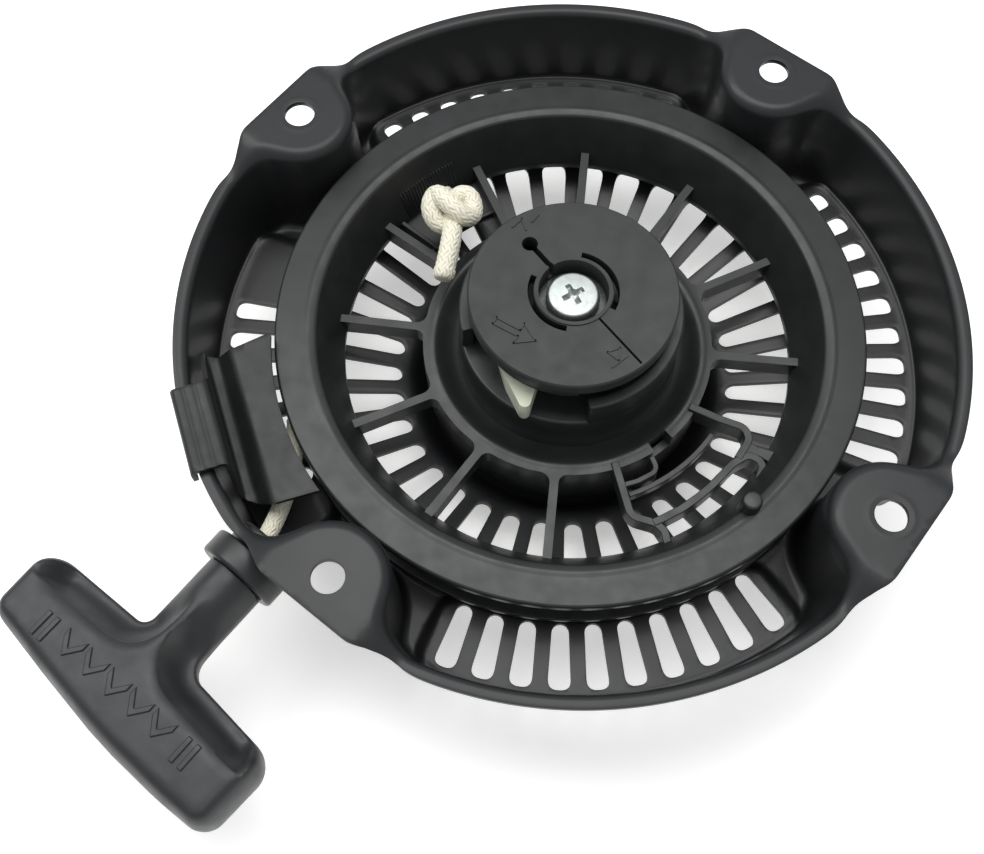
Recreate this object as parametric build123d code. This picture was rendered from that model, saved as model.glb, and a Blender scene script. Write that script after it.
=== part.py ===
"""Recoil starter for a small engine: slotted steel case, rope reel, pawls, guide disc and T handle.

Millimetres. +Z points to the engine, out of the open side of the case. The origin is the centre of the
circle of four mounting holes, in the plane of the ears' faces. The rope pulls the reel anticlockwise
seen from +Z, and leaves the case along PULL_ANGLE.
"""
from build123d import *
from math import atan2, cos, degrees, radians, sin
import os

# --- Driving dimensions -------------------------------------------------------------------------
SHEET = 1.4                     # thickness of the pressed steel

# mounting ears
BOLT_R = 90.0                   # radius of the bolt circle
BOLT_HOLE_R = 3.9
EAR_ANGLE = 51.75               # first ear, the others follow every quarter turn
EAR_R = 14.0                    # half width of an ear's flat face
EAR_FOOT_R = 14.9               # half width of the ear's pocket where it meets the floor

# case
RIM_R = 98.5
RIM_Z = -5.0
LIP_R = 95.2
FLOOR_Z = -28.0
FLOOR_OUT_R = 91.6
FLOOR_IN_R = 70.5
CONE_OUT_R, CONE_OUT_Z = 66.0, -32.5
CONE_IN_R, CONE_IN_Z = 41.0, -39.3
DISH_R = 36.0
DISH_Z = -48.3
SPINDLE_HOLE_R = 5.0

# slots: inner and outer end circles
OUTER_SLOT = (75.8, 2.1, 87.0, 2.7)
OUTER_SLOT_STEP = 6.0
OUTER_SLOTS_PER_SIDE = 10
INNER_SLOT = (46.25, 2.25, 60.8, 3.4)
INNER_SLOTS = 36

# spindle stack, heights up the axis
SPINDLE_R = 7.0
SHOULDER_Z = -9.0
NECK_R = 4.5
SPINDLE_TOP_Z = -3.2
SCREW_HEAD_R = 6.6
SCREW_HEAD_Z = (-1.2, 1.6)
SCREW_R = 2.9
RUNNING_GAP = 0.06

# reel
FLANGE_R = 74.6
FLANGE_Z = -10.5
LIP_IN_R = 64.0
GROOVE_TOP_Z = -13.0
GROOVE_BOTTOM_Z = -24.3
REEL_BOTTOM_Z = -26.5
WALL_BOTTOM_R = 58.3
WALL = 2.2
PLATEAU_R, PLATEAU_Z = 37.7, -21.6
SKIRT_Z = -38.0
HUB_R = 28.0
HUB_Z = -12.2
HUB_WALL_Z = -4.1
HUB_WALL = 3.2
TUBE_R = 10.0
SPOKE = 2.2
SPOKE_Z = -21.0
SPOKE_ANGLES = [24, 54, 84, 114, 144, 174, 204, 234, 264, 288, 329, 354]
HUB_WALLS = [(277.6, 14.0), (97.6, 194.0)]
PIN_R, PIN_ANGLE, PIN_RADIUS, PIN_TOP_Z = 64.0, -49.5, 2.4, -6.2
HOOK_RIB_R, HOOK_RIB_ENDS = (53.0, 55.0), (-72.0, -31.0)
KNOT_WALL_R, KNOT_WALL_ENDS = (54.6, 57.0), (114.0, 144.0)

# pawls and guide
PAWL_PIVOT = (-14.5, -9.5)
PAWL_TIP = (-11.8, -25.2)
PAWL_Z = (-12.0, -5.2)
PAWL_PEG_REACH = 6.5            # from the pivot to the peg
PAWL_PEG_R = 1.5
PEG_TOP_Z = 1.0
PAWL_SWING = 24.0               # degrees, retracted to engaged
GUIDE_SWING = 30.0              # degrees that the guide lags for that swing
GUIDE_R = 25.8
GUIDE_Z = (0.0, 3.8)
GUIDE_BORE_R = 8.6
GUIDE_FLANGE_Z = (-3.0, -1.7)
GUIDE_ARC_SLOTS = [(-28, 78), (155.6, 259.4)]
KEYHOLE_ANGLE, SLIT_ANGLE = 128.0, -51.5

# rope
ROPE_R = 2.3
ROPE_Z = -17.0
PULL_ANGLE = 231.0              # direction in which the handle is pulled
PULL_OFFSET = -20.5             # the pull line's distance from the axis
BUSH_END = 101.5                # distance along the pull line of the bush's outer face
BUSH_R = 10.3
KNOT_AT = (-31.0, 34.7, -12.5)
FEED_ANGLE = 127.0              # where the rope goes out through the reel's rim
FEED_Z = -17.5

# handle, along and across the pull line
GRIP_NEAR, GRIP_FAR = 123.5, 149.8
GRIP_HALF = 38.8
GRIP_HALF_H = 10.5
STEM_R, STEM_ROOT_R = 7.8, 9.6

HANDLE_GAP = 0.3                # between the bush and the handle's stem at rest

# rope guard: bend lines run along GUARD_ANGLE, and its profile is across them
GUARD_ANGLE = 289.0
GUARD_SHEET = 1.2
GUARD_IN_R = 76.2               # inner edge, round the reel
GUARD_PLATE_Z, GUARD_CHANNEL_Z, GUARD_HOOK_Z = -9.0, -14.2, -4.2
GUARD_HOOK_REACH = 99.6         # outer face of the hook, across the bends


# --- Helpers ------------------------------------------------------------------------------------
def polar(radius, angle):
    """Point at a radius and an angle in degrees."""
    return (radius * cos(radians(angle)), radius * sin(radians(angle)))


def turned(shape, angle):
    """The shape turned about the main axis."""
    return shape.rotate(Axis.Z, angle)


def disc(radius, z_low, z_high, x=0, y=0):
    """Upright cylinder between two heights."""
    return Pos(x, y, z_low) * extrude(Circle(radius), z_high - z_low)


def ring(r_in, r_out, z_low, z_high):
    """Upright tube between two heights."""
    return disc(r_out, z_low, z_high) - disc(r_in, z_low - 1, z_high + 1)


def sector(r_in, r_out, start, end, z_low, z_high):
    """Part of a ring, anticlockwise from start to end in degrees."""
    span = (end - start) % 360
    profile = Pos((r_in + r_out) / 2, 0, (z_low + z_high) / 2) * (
        Plane.XZ * Rectangle(r_out - r_in, z_high - z_low))
    return turned(revolve(profile, Axis.Z, span), start)


def spun(points):
    """Solid of revolution from (radius, height) points."""
    return revolve(Plane.XZ * make_face(Polyline(*points, close=True)), Axis.Z, 360)


def slot_cutter(r_in, half_in, r_out, half_out, z_low, z_high):
    """Upright cutter for a radial slot with round ends, widening outwards, along +X."""
    ends = Pos(r_in, 0) * Circle(half_in) + Pos(r_out, 0) * Circle(half_out)
    return Pos(0, 0, z_low) * extrude(make_hull(ends.edges()), z_high - z_low)


def pull_frame():
    """Plane whose X runs along the pull line, Y across it and Z up, with its origin abreast of the axis."""
    x, y = polar(1, PULL_ANGLE)
    side = polar(PULL_OFFSET, PULL_ANGLE + 90)
    return Plane(origin=(side[0], side[1], ROPE_Z), x_dir=(x, y, 0), z_dir=(0, 0, 1))


def along_pull(radius, near, far):
    """Round bar on the pull line."""
    return pull_frame() * (Pos(near, 0, 0) * Rot(0, 90, 0) * extrude(Circle(radius), far - near))


# --- Case ---------------------------------------------------------------------------------------
def case_wall():
    """The bowl: rim lip, wall, slotted floor, slotted cone and spring dish, turned round the axis."""
    path = FilletPolyline(
        (RIM_R, RIM_Z), (LIP_R, RIM_Z), (FLOOR_OUT_R, FLOOR_Z), (FLOOR_IN_R, FLOOR_Z),
        (CONE_OUT_R, CONE_OUT_Z), (CONE_IN_R, CONE_IN_Z), (DISH_R, DISH_Z), (SPINDLE_HOLE_R, DISH_Z),
        radius=[2.0, 2.0, 3.0, 3.0, 2.0, 2.0])
    under = offset(path, SHEET, side=Side.LEFT, closed=False)
    rim_edge = Line(path @ 0, nearest_end(under, path @ 0))
    hole_edge = Line(path @ 1, nearest_end(under, path @ 1))
    return revolve(Plane.XZ * make_face(path.edges() + under.edges() + [rim_edge, hole_edge]), Axis.Z, 360)


def nearest_end(wire, point):
    """The end of a wire that lies nearer a point."""
    return min([wire @ 0, wire @ 1], key=lambda end: (end - point).length)


def ear_form(inset, z_high, z_low, reach):
    """Tapered block under an ear's face: round towards the axis and open outwards, along +X."""
    def outline(half):
        return Pos(BOLT_R, 0) * Circle(half) + Pos(BOLT_R + reach / 2, 0) * Rectangle(reach, 2 * half)
    top = Pos(0, 0, z_high) * outline(EAR_R - inset)
    bottom = Pos(0, 0, z_low) * outline(EAR_FOOT_R - inset)
    return loft([top.faces()[0], bottom.faces()[0]])


def case():
    """Pressed steel case with its ears, slots and holes."""
    body = case_wall()
    wall_line = FLOOR_OUT_R + SHEET
    bound = spun([(0, 0), (RIM_R - 0.8, 0), (RIM_R, RIM_Z - SHEET), (LIP_R + SHEET, RIM_Z - SHEET),
                  (wall_line, FLOOR_Z - SHEET), (0, FLOOR_Z - SHEET)])
    for quarter in range(4):
        angle = EAR_ANGLE + 90 * quarter
        ear = turned(ear_form(0, 0, FLOOR_Z - SHEET, 12), angle) & bound
        pocket = turned(ear_form(SHEET, -SHEET, FLOOR_Z - 3, 25), angle)
        x, y = polar(BOLT_R, angle)
        body = body + ear - pocket - disc(BOLT_HOLE_R, -4, 4, x, y)
    cutters = []
    outer = slot_cutter(*OUTER_SLOT, FLOOR_Z - 6, FLOOR_Z + 4)
    for quarter in range(4):
        middle = EAR_ANGLE - 45 + 90 * quarter
        for k in range(OUTER_SLOTS_PER_SIDE):
            angle = middle + (k - (OUTER_SLOTS_PER_SIDE - 1) / 2) * OUTER_SLOT_STEP
            if quarter != 2 or 168 < angle < 210:       # the rope's side is plain near its ears
                cutters.append(turned(outer, angle))
    inner = slot_cutter(*INNER_SLOT, CONE_IN_Z - 5, CONE_OUT_Z + 4)
    for k in range(INNER_SLOTS):
        cutters.append(turned(inner, 1.75 + k * 360 / INNER_SLOTS))
    body = body - cutters
    return body - along_pull(BUSH_R - 2.4, 80, 110)


def rope_bush():
    """Plastic eyelet on the pull line: a collar outside the wall, a neck through it and a lip inside."""
    collar = along_pull(BUSH_R, 95.2, BUSH_END)
    neck = along_pull(BUSH_R - 2.6, 85.5, 96)
    bore = along_pull(ROPE_R + 0.7, 80, 110)
    mouth = pull_frame() * (Pos(87, 0, 0) * Rot(0, -90, 0) * Cone(ROPE_R + 0.6, ROPE_R + 3.6, 3))
    return collar + neck - bore - mouth


def rope_guard():
    """Bent plate over the reel's edge: a flat by the reel, a channel, and a hook over the rim."""
    across = polar(1, GUARD_ANGLE - 90) + (0,)
    section = Plane(origin=(0, 0, 0), x_dir=across, z_dir=polar(1, GUARD_ANGLE - 180) + (0,))
    line = FilletPolyline(
        (74.5, GUARD_PLATE_Z), (82.7, GUARD_PLATE_Z), (85.6, GUARD_CHANNEL_Z), (89.0, GUARD_CHANNEL_Z),
        (91.6, GUARD_HOOK_Z), (GUARD_HOOK_REACH, GUARD_HOOK_Z), (GUARD_HOOK_REACH, GUARD_HOOK_Z - 9.3),
        radius=[2.0, 1.5, 1.5, 1.5, 1.3])
    plate = extrude(section * trace(line, GUARD_SHEET), 30, both=True)
    plan = Plane(origin=(0, 0, -30), x_dir=across, z_dir=(0, 0, 1))
    outline = Polyline((70, 26), (83, 26), (88, 21), (91, 15.8), (105, 15.8), (105, -8.5),
                       (91, -8.5), (87, -17.5), (70, -18.5), close=True)
    keep = plan * extrude(make_face(outline), 60)
    return (plate & keep) - disc(GUARD_IN_R, -30, 10)


def spindle():
    """Fixed post of the reel: foot on the dish, tenon through it, and a neck for the guide."""
    foot = disc(12, DISH_Z, DISH_Z + 2)
    post = disc(SPINDLE_R, DISH_Z + 2, SHOULDER_Z)
    neck = disc(NECK_R, SHOULDER_Z, SPINDLE_TOP_Z)
    tenon = disc(SPINDLE_HOLE_R - 0.03, DISH_Z - SHEET, DISH_Z)
    return foot + post + neck + tenon - disc(SCREW_R + 0.05, -16, 0)


def centre_screw():
    """Pan-head screw with a shoulder, clamped on the spindle's top, with a cross recess."""
    head = disc(SCREW_HEAD_R, *SCREW_HEAD_Z)
    head = fillet(head.edges().group_by(Axis.Z)[-1], 1.3)
    shoulder = disc(NECK_R, SPINDLE_TOP_Z, SCREW_HEAD_Z[0])
    shank = disc(SCREW_R, -15, SPINDLE_TOP_Z)
    recess = Pos(0, 0, SCREW_HEAD_Z[1]) * (Box(5.2, 1.1, 3) + Box(1.1, 5.2, 3))
    return head + shoulder + shank - recess


def friction_washer():
    """Thin washer under the screw's head."""
    return ring(NECK_R + 0.05, 8.2, SCREW_HEAD_Z[0] - 0.4, SCREW_HEAD_Z[0])


def reel_washer():
    """Thrust washer on the spindle's shoulder, over the reel's hub."""
    return ring(NECK_R + 0.05, 9.0, SHOULDER_Z, SHOULDER_Z + 0.8)


def friction_spring():
    """Coil spring round the neck, pushing the guide up against its washer."""
    wire, mean, low = 0.5, NECK_R + 0.8, SHOULDER_Z + 0.8
    pitch = 1.5
    height = GUIDE_FLANGE_Z[0] - low - 2 * wire - 0.1
    path = Helix(pitch=pitch, height=height, radius=mean)
    section = Plane(origin=path @ 0, z_dir=path % 0) * Circle(wire)
    coil = sweep(section, path=path, is_frenet=True)
    return Pos(0, 0, low + wire) * coil


# --- Recoil spring ------------------------------------------------------------------------------
def spiral_spring():
    """Flat strip wound in the dish, as half turns whose centres alternate."""
    strip, width, pitch, first, turns = 0.6, 11.0, 2.5, 13.0, 8
    low = DISH_Z + 0.4
    coil = None
    for half in range(2 * turns):
        radius = first + half * pitch / 2
        centre = 0 if half % 2 == 0 else pitch / 2
        band = Circle(radius + strip / 2) - Circle(radius - strip / 2)
        side = Rectangle(100, 50, align=(Align.CENTER, Align.MIN if half % 2 == 0 else Align.MAX))
        part = Pos(centre, 0) * (band & side)
        coil = part if coil is None else coil + part
    return Pos(0, 0, low) * extrude(coil, width)


def spring_anchor():
    """Rivet in the dish, by the spring's outer end."""
    x, y = polar(34.2, 184)
    return disc(0.9, DISH_Z, DISH_Z + 9, x, y)


# --- Reel ---------------------------------------------------------------------------------------
def reel():
    """Moulded reel: grooved rim, spokes, plateau with its skirt, and a hub with two raised walls."""
    rim = spun([
        (LIP_IN_R, FLANGE_Z - 1), (LIP_IN_R + 1, FLANGE_Z), (FLANGE_R - 0.6, FLANGE_Z),
        (FLANGE_R, FLANGE_Z - 0.6), (FLANGE_R, GROOVE_TOP_Z + 0.4), (LIP_IN_R + WALL, GROOVE_TOP_Z),
        (WALL_BOTTOM_R + WALL, GROOVE_BOTTOM_Z), (FLANGE_R - 0.8, GROOVE_BOTTOM_Z - 0.4),
        (FLANGE_R - 0.8, REEL_BOTTOM_Z), (WALL_BOTTOM_R, REEL_BOTTOM_Z),
        (WALL_BOTTOM_R, GROOVE_BOTTOM_Z)])
    hub = spun([
        (SPINDLE_R + RUNNING_GAP, SHOULDER_Z - 0.2), (TUBE_R, SHOULDER_Z - 0.2), (TUBE_R, HUB_Z),
        (HUB_R, HUB_Z), (HUB_R + 0.3, PLATEAU_Z + 2), (HUB_R + 2, PLATEAU_Z - 0.6), (34.5, PLATEAU_Z),
        (PLATEAU_R, PLATEAU_Z), (PLATEAU_R, SKIRT_Z), (PLATEAU_R - 2.2, SKIRT_Z),
        (PLATEAU_R - 2.2, PLATEAU_Z - 2.8), (HUB_R - 2.4, PLATEAU_Z - 2.8), (HUB_R - 2.6, HUB_Z - 2.5),
        (TUBE_R, HUB_Z - 2.5), (TUBE_R, -45.5), (SPINDLE_R + RUNNING_GAP, -45.5)])
    body = hub
    for start, end in HUB_WALLS:
        body = body + sector(HUB_R - HUB_WALL, HUB_R, start, end, HUB_Z - 0.5, HUB_WALL_Z)
    for angle in SPOKE_ANGLES:
        rib = make_face(Polyline((PLATEAU_R - 1, REEL_BOTTOM_Z), (WALL_BOTTOM_R + 1, REEL_BOTTOM_Z),
                                 (WALL_BOTTOM_R + 2.2, SPOKE_Z), (PLATEAU_R - 1, PLATEAU_Z), close=True))
        body = body + turned(extrude(Plane.XZ * rib, SPOKE / 2, both=True), angle)
    body = body + rim
    body = body + sector(*HOOK_RIB_R, *HOOK_RIB_ENDS, REEL_BOTTOM_Z, SPOKE_Z + 0.5)
    body = body + disc(PIN_RADIUS, GROOVE_TOP_Z, PIN_TOP_Z, *polar(PIN_R, PIN_ANGLE))
    body = body + sector(*KNOT_WALL_R, *KNOT_WALL_ENDS, REEL_BOTTOM_Z, GROOVE_TOP_Z - 1)
    feed_hole = Pos(60, 0, FEED_Z) * Rot(0, 90, 0) * Cylinder(ROPE_R + 0.4, 26)
    body = body - turned(feed_hole, FEED_ANGLE)
    for turn in (0, 180):
        x, y = PAWL_PIVOT
        body = body - turned(disc(1.5, HUB_Z - 4, HUB_Z + 1, x, y), turn)
    return body


def rope_windings():
    """The rope's turns in the groove, as three rings that touch."""
    turns = Sketch()
    for radius, z in [(67.6, -15.6), (67.9, -20.0), (64.5, -21.9)]:
        turns = turns + Pos(radius, z) * Circle(ROPE_R)
    return revolve(Plane.XZ * turns, Axis.Z, 360)


def rope_feed():
    """The rope from the knot, through the pocket's wall and the rim, to the groove."""
    bar = Pos(57.5, 0, FEED_Z) * Rot(0, 90, 0) * Cylinder(ROPE_R, 11)
    return turned(bar, FEED_ANGLE)


def reel_knot():
    """Knot that holds the rope's inner end, with its cut tail."""
    x, y, z = KNOT_AT
    ball = Pos(x, y, z) * Rot(0, 0, 24) * fillet(Box(15.5, 12.5, 11.5).edges(), 5.2)
    tail = Pos(x - 0.3, y - 12, z + 0.4) * Rot(-90, 0, 3) * Cylinder(ROPE_R, 22)
    return ball + tail


# --- Pawls and guide ----------------------------------------------------------------------------
def peg_at(share):
    """Middle of the first pawl's peg, seen from the reel, at a share of its swing."""
    rest = atan2(PAWL_TIP[1] - PAWL_PIVOT[1], PAWL_TIP[0] - PAWL_PIVOT[0])
    angle = rest - radians(PAWL_SWING * share)
    return (PAWL_PIVOT[0] + PAWL_PEG_REACH * cos(angle), PAWL_PIVOT[1] + PAWL_PEG_REACH * sin(angle))


def pawl(turn):
    """Flat hooked pawl with a pivot eye and a peg that runs in the guide's track."""
    eye = Pos(*PAWL_PIVOT) * Circle(4.2)
    waist = Pos(-12.4, -17.2) * Circle(4.3)
    nose = Pos(*PAWL_TIP) * Circle(1.5)
    plan = make_hull((eye + waist).edges()) + make_hull((waist + nose).edges())
    body = Pos(0, 0, PAWL_Z[0]) * extrude(plan, PAWL_Z[1] - PAWL_Z[0])
    body = body - disc(1.55, PAWL_Z[0] - 1, PAWL_Z[1] + 1, *PAWL_PIVOT)
    body = body + disc(PAWL_PEG_R, PAWL_Z[1] - 1, PEG_TOP_Z, *peg_at(0))
    return turned(body, turn)


def pawl_pin(turn):
    """Steel pin in the hub, on which a pawl turns."""
    return turned(disc(1.5, HUB_Z - 2.5, PAWL_Z[1], *PAWL_PIVOT), turn)


def pawl_spring(turn):
    """Small wire hairpin beside a pawl's eye that pulls it back."""
    x, y = PAWL_PIVOT
    loop = Pos(x, y, PAWL_Z[1] + 0.55) * Torus(2.6, 0.3)
    leg = Pos(x + 5.2, y + 1.2, PAWL_Z[1] + 0.55) * Rot(0, 90, 20) * Cylinder(0.3, 6)
    return turned(loop + leg, turn)


def peg_track():
    """Cutter for one track: the peg's path seen from the guide, with room round it."""
    steps = 8
    room = PAWL_PEG_R + 0.25
    centres = []
    for k in range(steps + 1):
        share = k / steps
        x, y = peg_at(share)
        lag = radians(GUIDE_SWING * share)
        centres.append((x * cos(lag) - y * sin(lag), x * sin(lag) + y * cos(lag)))
    track = Sketch()
    for (ax, ay), (bx, by) in zip(centres, centres[1:]):
        pair = Pos(ax, ay) * Circle(room) + Pos(bx, by) * Circle(room)
        track = track + make_hull(pair.edges())
    return Pos(0, 0, -6) * extrude(track, 6 + PEG_TOP_Z + 0.3)


def ratchet_guide():
    """Disc over the pawls, with a stepped bore, two track blocks below, two arc slots and a slit."""
    low, high = GUIDE_Z
    body = ring(GUIDE_BORE_R, GUIDE_R, low, high)
    top_edges = body.edges().filter_by(GeomType.CIRCLE).group_by(Axis.Z)[-1]
    body = chamfer(top_edges.sort_by(SortBy.RADIUS)[-1], 0.4)
    body = body + ring(GUIDE_BORE_R, 9.5, GUIDE_FLANGE_Z[0], high + 0.4)
    body = body + ring(NECK_R + 0.1, 9.5, *GUIDE_FLANGE_Z)
    for turn in (0, 180):
        start = degrees(atan2(peg_at(0)[1], peg_at(0)[0])) - 9
        block = sector(18.2, 24.4, start + turn, start + 52 + turn, -4.0, low)
        body = body + block
        body = body - turned(peg_track(), turn)
    for start, end in GUIDE_ARC_SLOTS:
        body = body - sector(9.7, 11.2, start, end, -1, high + 1)
    body = body - disc(2.0, -1, high + 1, *polar(17, KEYHOLE_ANGLE))
    body = body - turned(Pos(12.6, 0, 2) * Box(8.4, 1.4, 6), KEYHOLE_ANGLE)
    return body - turned(Pos(17.2, 0, 2) * Box(15.4, 0.6, 6), SLIT_ANGLE)


# --- Rope beyond the reel -----------------------------------------------------------------------
def rope_lead():
    """The rope from the reel's side, round the bend and through the bush to its outer face."""
    frame = pull_frame()
    start = Vector(-68.5, -25.2, ROPE_Z)
    end = frame.from_local_coords(Vector(BUSH_END, 0, 0))
    pull = Vector(*polar(1, PULL_ANGLE), 0)
    corner = Vector(start.X, end.Y - pull.Y / pull.X * (end.X - start.X), ROPE_Z)
    path = FilletPolyline(start, corner, end, radius=30)
    section = Plane(origin=path @ 0, z_dir=path % 0) * Circle(ROPE_R)
    return sweep(section, path=path)


def handle_rope():
    """The rope inside the handle, from the bush to the knot."""
    return along_pull(ROPE_R, BUSH_END + HANDLE_GAP, 136.6)


def handle_knot():
    """The rope's outer knot, in the grip's pocket."""
    return pull_frame() * (Pos(141.4, 0, 0) * fillet(Box(9.6, 11, 11).edges(), 4.4))


def handle_insert():
    """Steel washer that the knot pulls against."""
    return along_pull(6.5, 135.0, 136.4) - along_pull(ROPE_R + 0.1, 134, 138)


def handle_grip():
    """T-shaped grip: a bar with a bowed back, a round stem, a rope bore and a pocket for the knot."""
    frame = pull_frame()
    back = ThreePointArc((GRIP_FAR - 9.5, GRIP_HALF), (GRIP_FAR, 0), (GRIP_FAR - 9.5, -GRIP_HALF))
    front = Polyline(back @ 1, (GRIP_NEAR, -GRIP_HALF), (GRIP_NEAR, GRIP_HALF), back @ 0)
    bar = extrude(make_face(back.edges() + front.edges()), GRIP_HALF_H, both=True)
    bar = fillet(bar.edges().filter_by(Axis.Z), 6.5)
    bar = fillet(bar.edges().group_by(Axis.Z)[-1] + bar.edges().group_by(Axis.Z)[0], 6.0)
    near = Pos(BUSH_END + HANDLE_GAP, 0, 0) * Rot(0, 90, 0) * Circle(STEM_R)
    root = Pos(GRIP_NEAR + 5, 0, 0) * Rot(0, 90, 0) * Circle(STEM_ROOT_R)
    stem = loft([near.face(), root.face()])
    bore = Pos(120, 0, 0) * Rot(0, 90, 0) * Cylinder(ROPE_R + 0.4, 60)
    pocket = Pos(140.9, 0, -3.5) * Box(11.9, 15, 21)
    grip = bar + stem - (bore & (Pos(110, 0, 0) * Box(55, 20, 20))) - pocket
    return frame * grip


# --- Parts --------------------------------------------------------------------------------------
PARTS = {
    "case": case,
    "rope_bush": rope_bush,
    "rope_guard": rope_guard,
    "spindle": spindle,
    "centre_screw": centre_screw,
    "friction_washer": friction_washer,
    "reel_washer": reel_washer,
    "friction_spring": friction_spring,
    "spiral_spring": spiral_spring,
    "spring_anchor": spring_anchor,
    "reel": reel,
    "rope_windings": rope_windings,
    "rope_feed": rope_feed,
    "reel_knot": reel_knot,
    "pawl_a": lambda: pawl(0),
    "pawl_b": lambda: pawl(180),
    "pawl_pin_a": lambda: pawl_pin(0),
    "pawl_pin_b": lambda: pawl_pin(180),
    "pawl_spring_a": lambda: pawl_spring(0),
    "pawl_spring_b": lambda: pawl_spring(180),
    "ratchet_guide": ratchet_guide,
    "rope_lead": rope_lead,
    "handle_rope": handle_rope,
    "handle_knot": handle_knot,
    "handle_insert": handle_insert,
    "handle_grip": handle_grip,
}


def main():
    """Builds every part and writes its STEP file."""
    os.makedirs("parts", exist_ok=True)
    for name, make in PARTS.items():
        solid = make()
        solid.label = name
        export_step(solid, f"parts/{name}.step")
        print(f"{name}: {len(solid.solids())} solid, {solid.volume:.1f} mm3")


main()
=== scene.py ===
"""Looks of the recoil starter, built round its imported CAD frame. Plan sizes are in mm and degrees."""
import math

import bmesh
import bpy
import numpy as np
from mathutils import Matrix, Vector
from mathutils.geometry import delaunay_2d_cdt


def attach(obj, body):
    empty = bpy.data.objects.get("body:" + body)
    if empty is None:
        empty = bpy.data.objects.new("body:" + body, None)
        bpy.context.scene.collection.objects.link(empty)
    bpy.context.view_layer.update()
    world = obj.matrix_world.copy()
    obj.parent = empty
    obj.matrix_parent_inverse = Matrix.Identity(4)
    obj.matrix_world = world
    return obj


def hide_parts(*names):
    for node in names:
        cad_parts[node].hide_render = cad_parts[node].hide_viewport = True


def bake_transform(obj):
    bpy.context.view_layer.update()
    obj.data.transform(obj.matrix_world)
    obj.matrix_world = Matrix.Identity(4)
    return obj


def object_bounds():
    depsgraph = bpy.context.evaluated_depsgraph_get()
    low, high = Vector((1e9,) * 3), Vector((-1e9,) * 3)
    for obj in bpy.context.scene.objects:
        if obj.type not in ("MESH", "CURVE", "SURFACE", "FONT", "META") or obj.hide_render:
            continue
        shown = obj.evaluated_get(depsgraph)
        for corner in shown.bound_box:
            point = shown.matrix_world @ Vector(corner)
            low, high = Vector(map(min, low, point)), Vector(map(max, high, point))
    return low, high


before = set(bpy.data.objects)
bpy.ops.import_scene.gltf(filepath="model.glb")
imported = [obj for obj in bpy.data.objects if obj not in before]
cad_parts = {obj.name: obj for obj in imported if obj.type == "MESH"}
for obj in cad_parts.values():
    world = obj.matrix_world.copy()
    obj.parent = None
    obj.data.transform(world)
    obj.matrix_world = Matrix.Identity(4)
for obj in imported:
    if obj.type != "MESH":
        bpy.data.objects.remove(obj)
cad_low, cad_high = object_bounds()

MM = 0.001

# case
SHEET = 1.4
BOLT_R, BOLT_HOLE_R = 90.0, 3.9
EAR_ANGLE, EAR_R = 51.75, 14.0
RIM_R, RIM_Z, LIP_R = 98.5, -5.0, 95.2
PANEL_Z, DEEP_Z = -28.0, -30.6
CONE = [(70.5, -28.0), (66.0, -32.5), (41.0, -39.3), (36.0, -48.3)]
PANEL_R = (73.1, 90.8)
PANEL_HALF_ANGLE = 30.5
# a slot's inner end and half width, then its outer end and half width
OUTER_SLOT = (75.8, 2.1, 87.0, 2.7)
INNER_SLOT = (46.25, 2.25, 60.8, 3.4)
OUTER_SQUARE, INNER_SQUARE = 0.74, 0.56    # 1 is a round outer end, and less is squarer
SPINDLE_HOLE_R = 5.0

# reel
FLANGE_R, FLANGE_Z = 74.6, -10.5
LIP_IN_R, LIP_IN_Z = 64.0, -10.9
WALL_BOTTOM_R, REEL_BOTTOM_Z = 58.3, -26.5
GROOVE_TOP_Z, GROOVE_BOTTOM_Z = -13.0, -24.3
PLATEAU_R = 37.7
HUB_R, HUB_Z, HUB_WALL_Z, HUB_WALL = 28.0, -12.2, -4.1, 3.2
SPOKE = 2.2
SPOKE_ANGLES = [24, 54, 84, 114, 144, 174, 204, 234, 264, 288, 329, 354]
HUB_WALLS = [(277.6, 374.0), (97.6, 194.0)]
PIN_R, PIN_ANGLE, PIN_RADIUS = 64.6, -50.4, 2.5

# rope and handle
ROPE_R, ROPE_Z = 2.3, -17.0
PULL_ANGLE, PULL_OFFSET = 231.0, -20.5
BUSH_END = 101.5
KNOT_AT = (-31.0, 34.7, -12.5)

# guard
GUARD_ANGLE = 289.0
GUARD_SHEET = 1.2

# camera, fitted to the photo's outlines
CAMERA_AT = (-19.603, -147.412, 253.932)
CAMERA_TILT, CAMERA_ROLL, CAMERA_LENS = 24.002, 0.2519, 43.68


# --- Plan geometry ------------------------------------------------------------------------------
def polar(radius, angle):
    """Point at a radius and an angle in degrees."""
    turn = math.radians(angle)
    return (radius * math.cos(turn), radius * math.sin(turn))


def arc(radius, start, end, steps, centre=(0, 0)):
    """Points of an arc, both ends included."""
    angles = [start + (end - start) * k / steps for k in range(steps + 1)]
    return [(centre[0] + polar(radius, a)[0], centre[1] + polar(radius, a)[1]) for a in angles]


def circle(radius, steps, centre=(0, 0)):
    """Points round a circle."""
    return arc(radius, 0, 360, steps, centre)[:-1]


def turned(points, angle):
    """Plan points turned about the main axis."""
    c, s = polar(1, angle)
    return [(x * c - y * s, x * s + y * c) for x, y in points]


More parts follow.
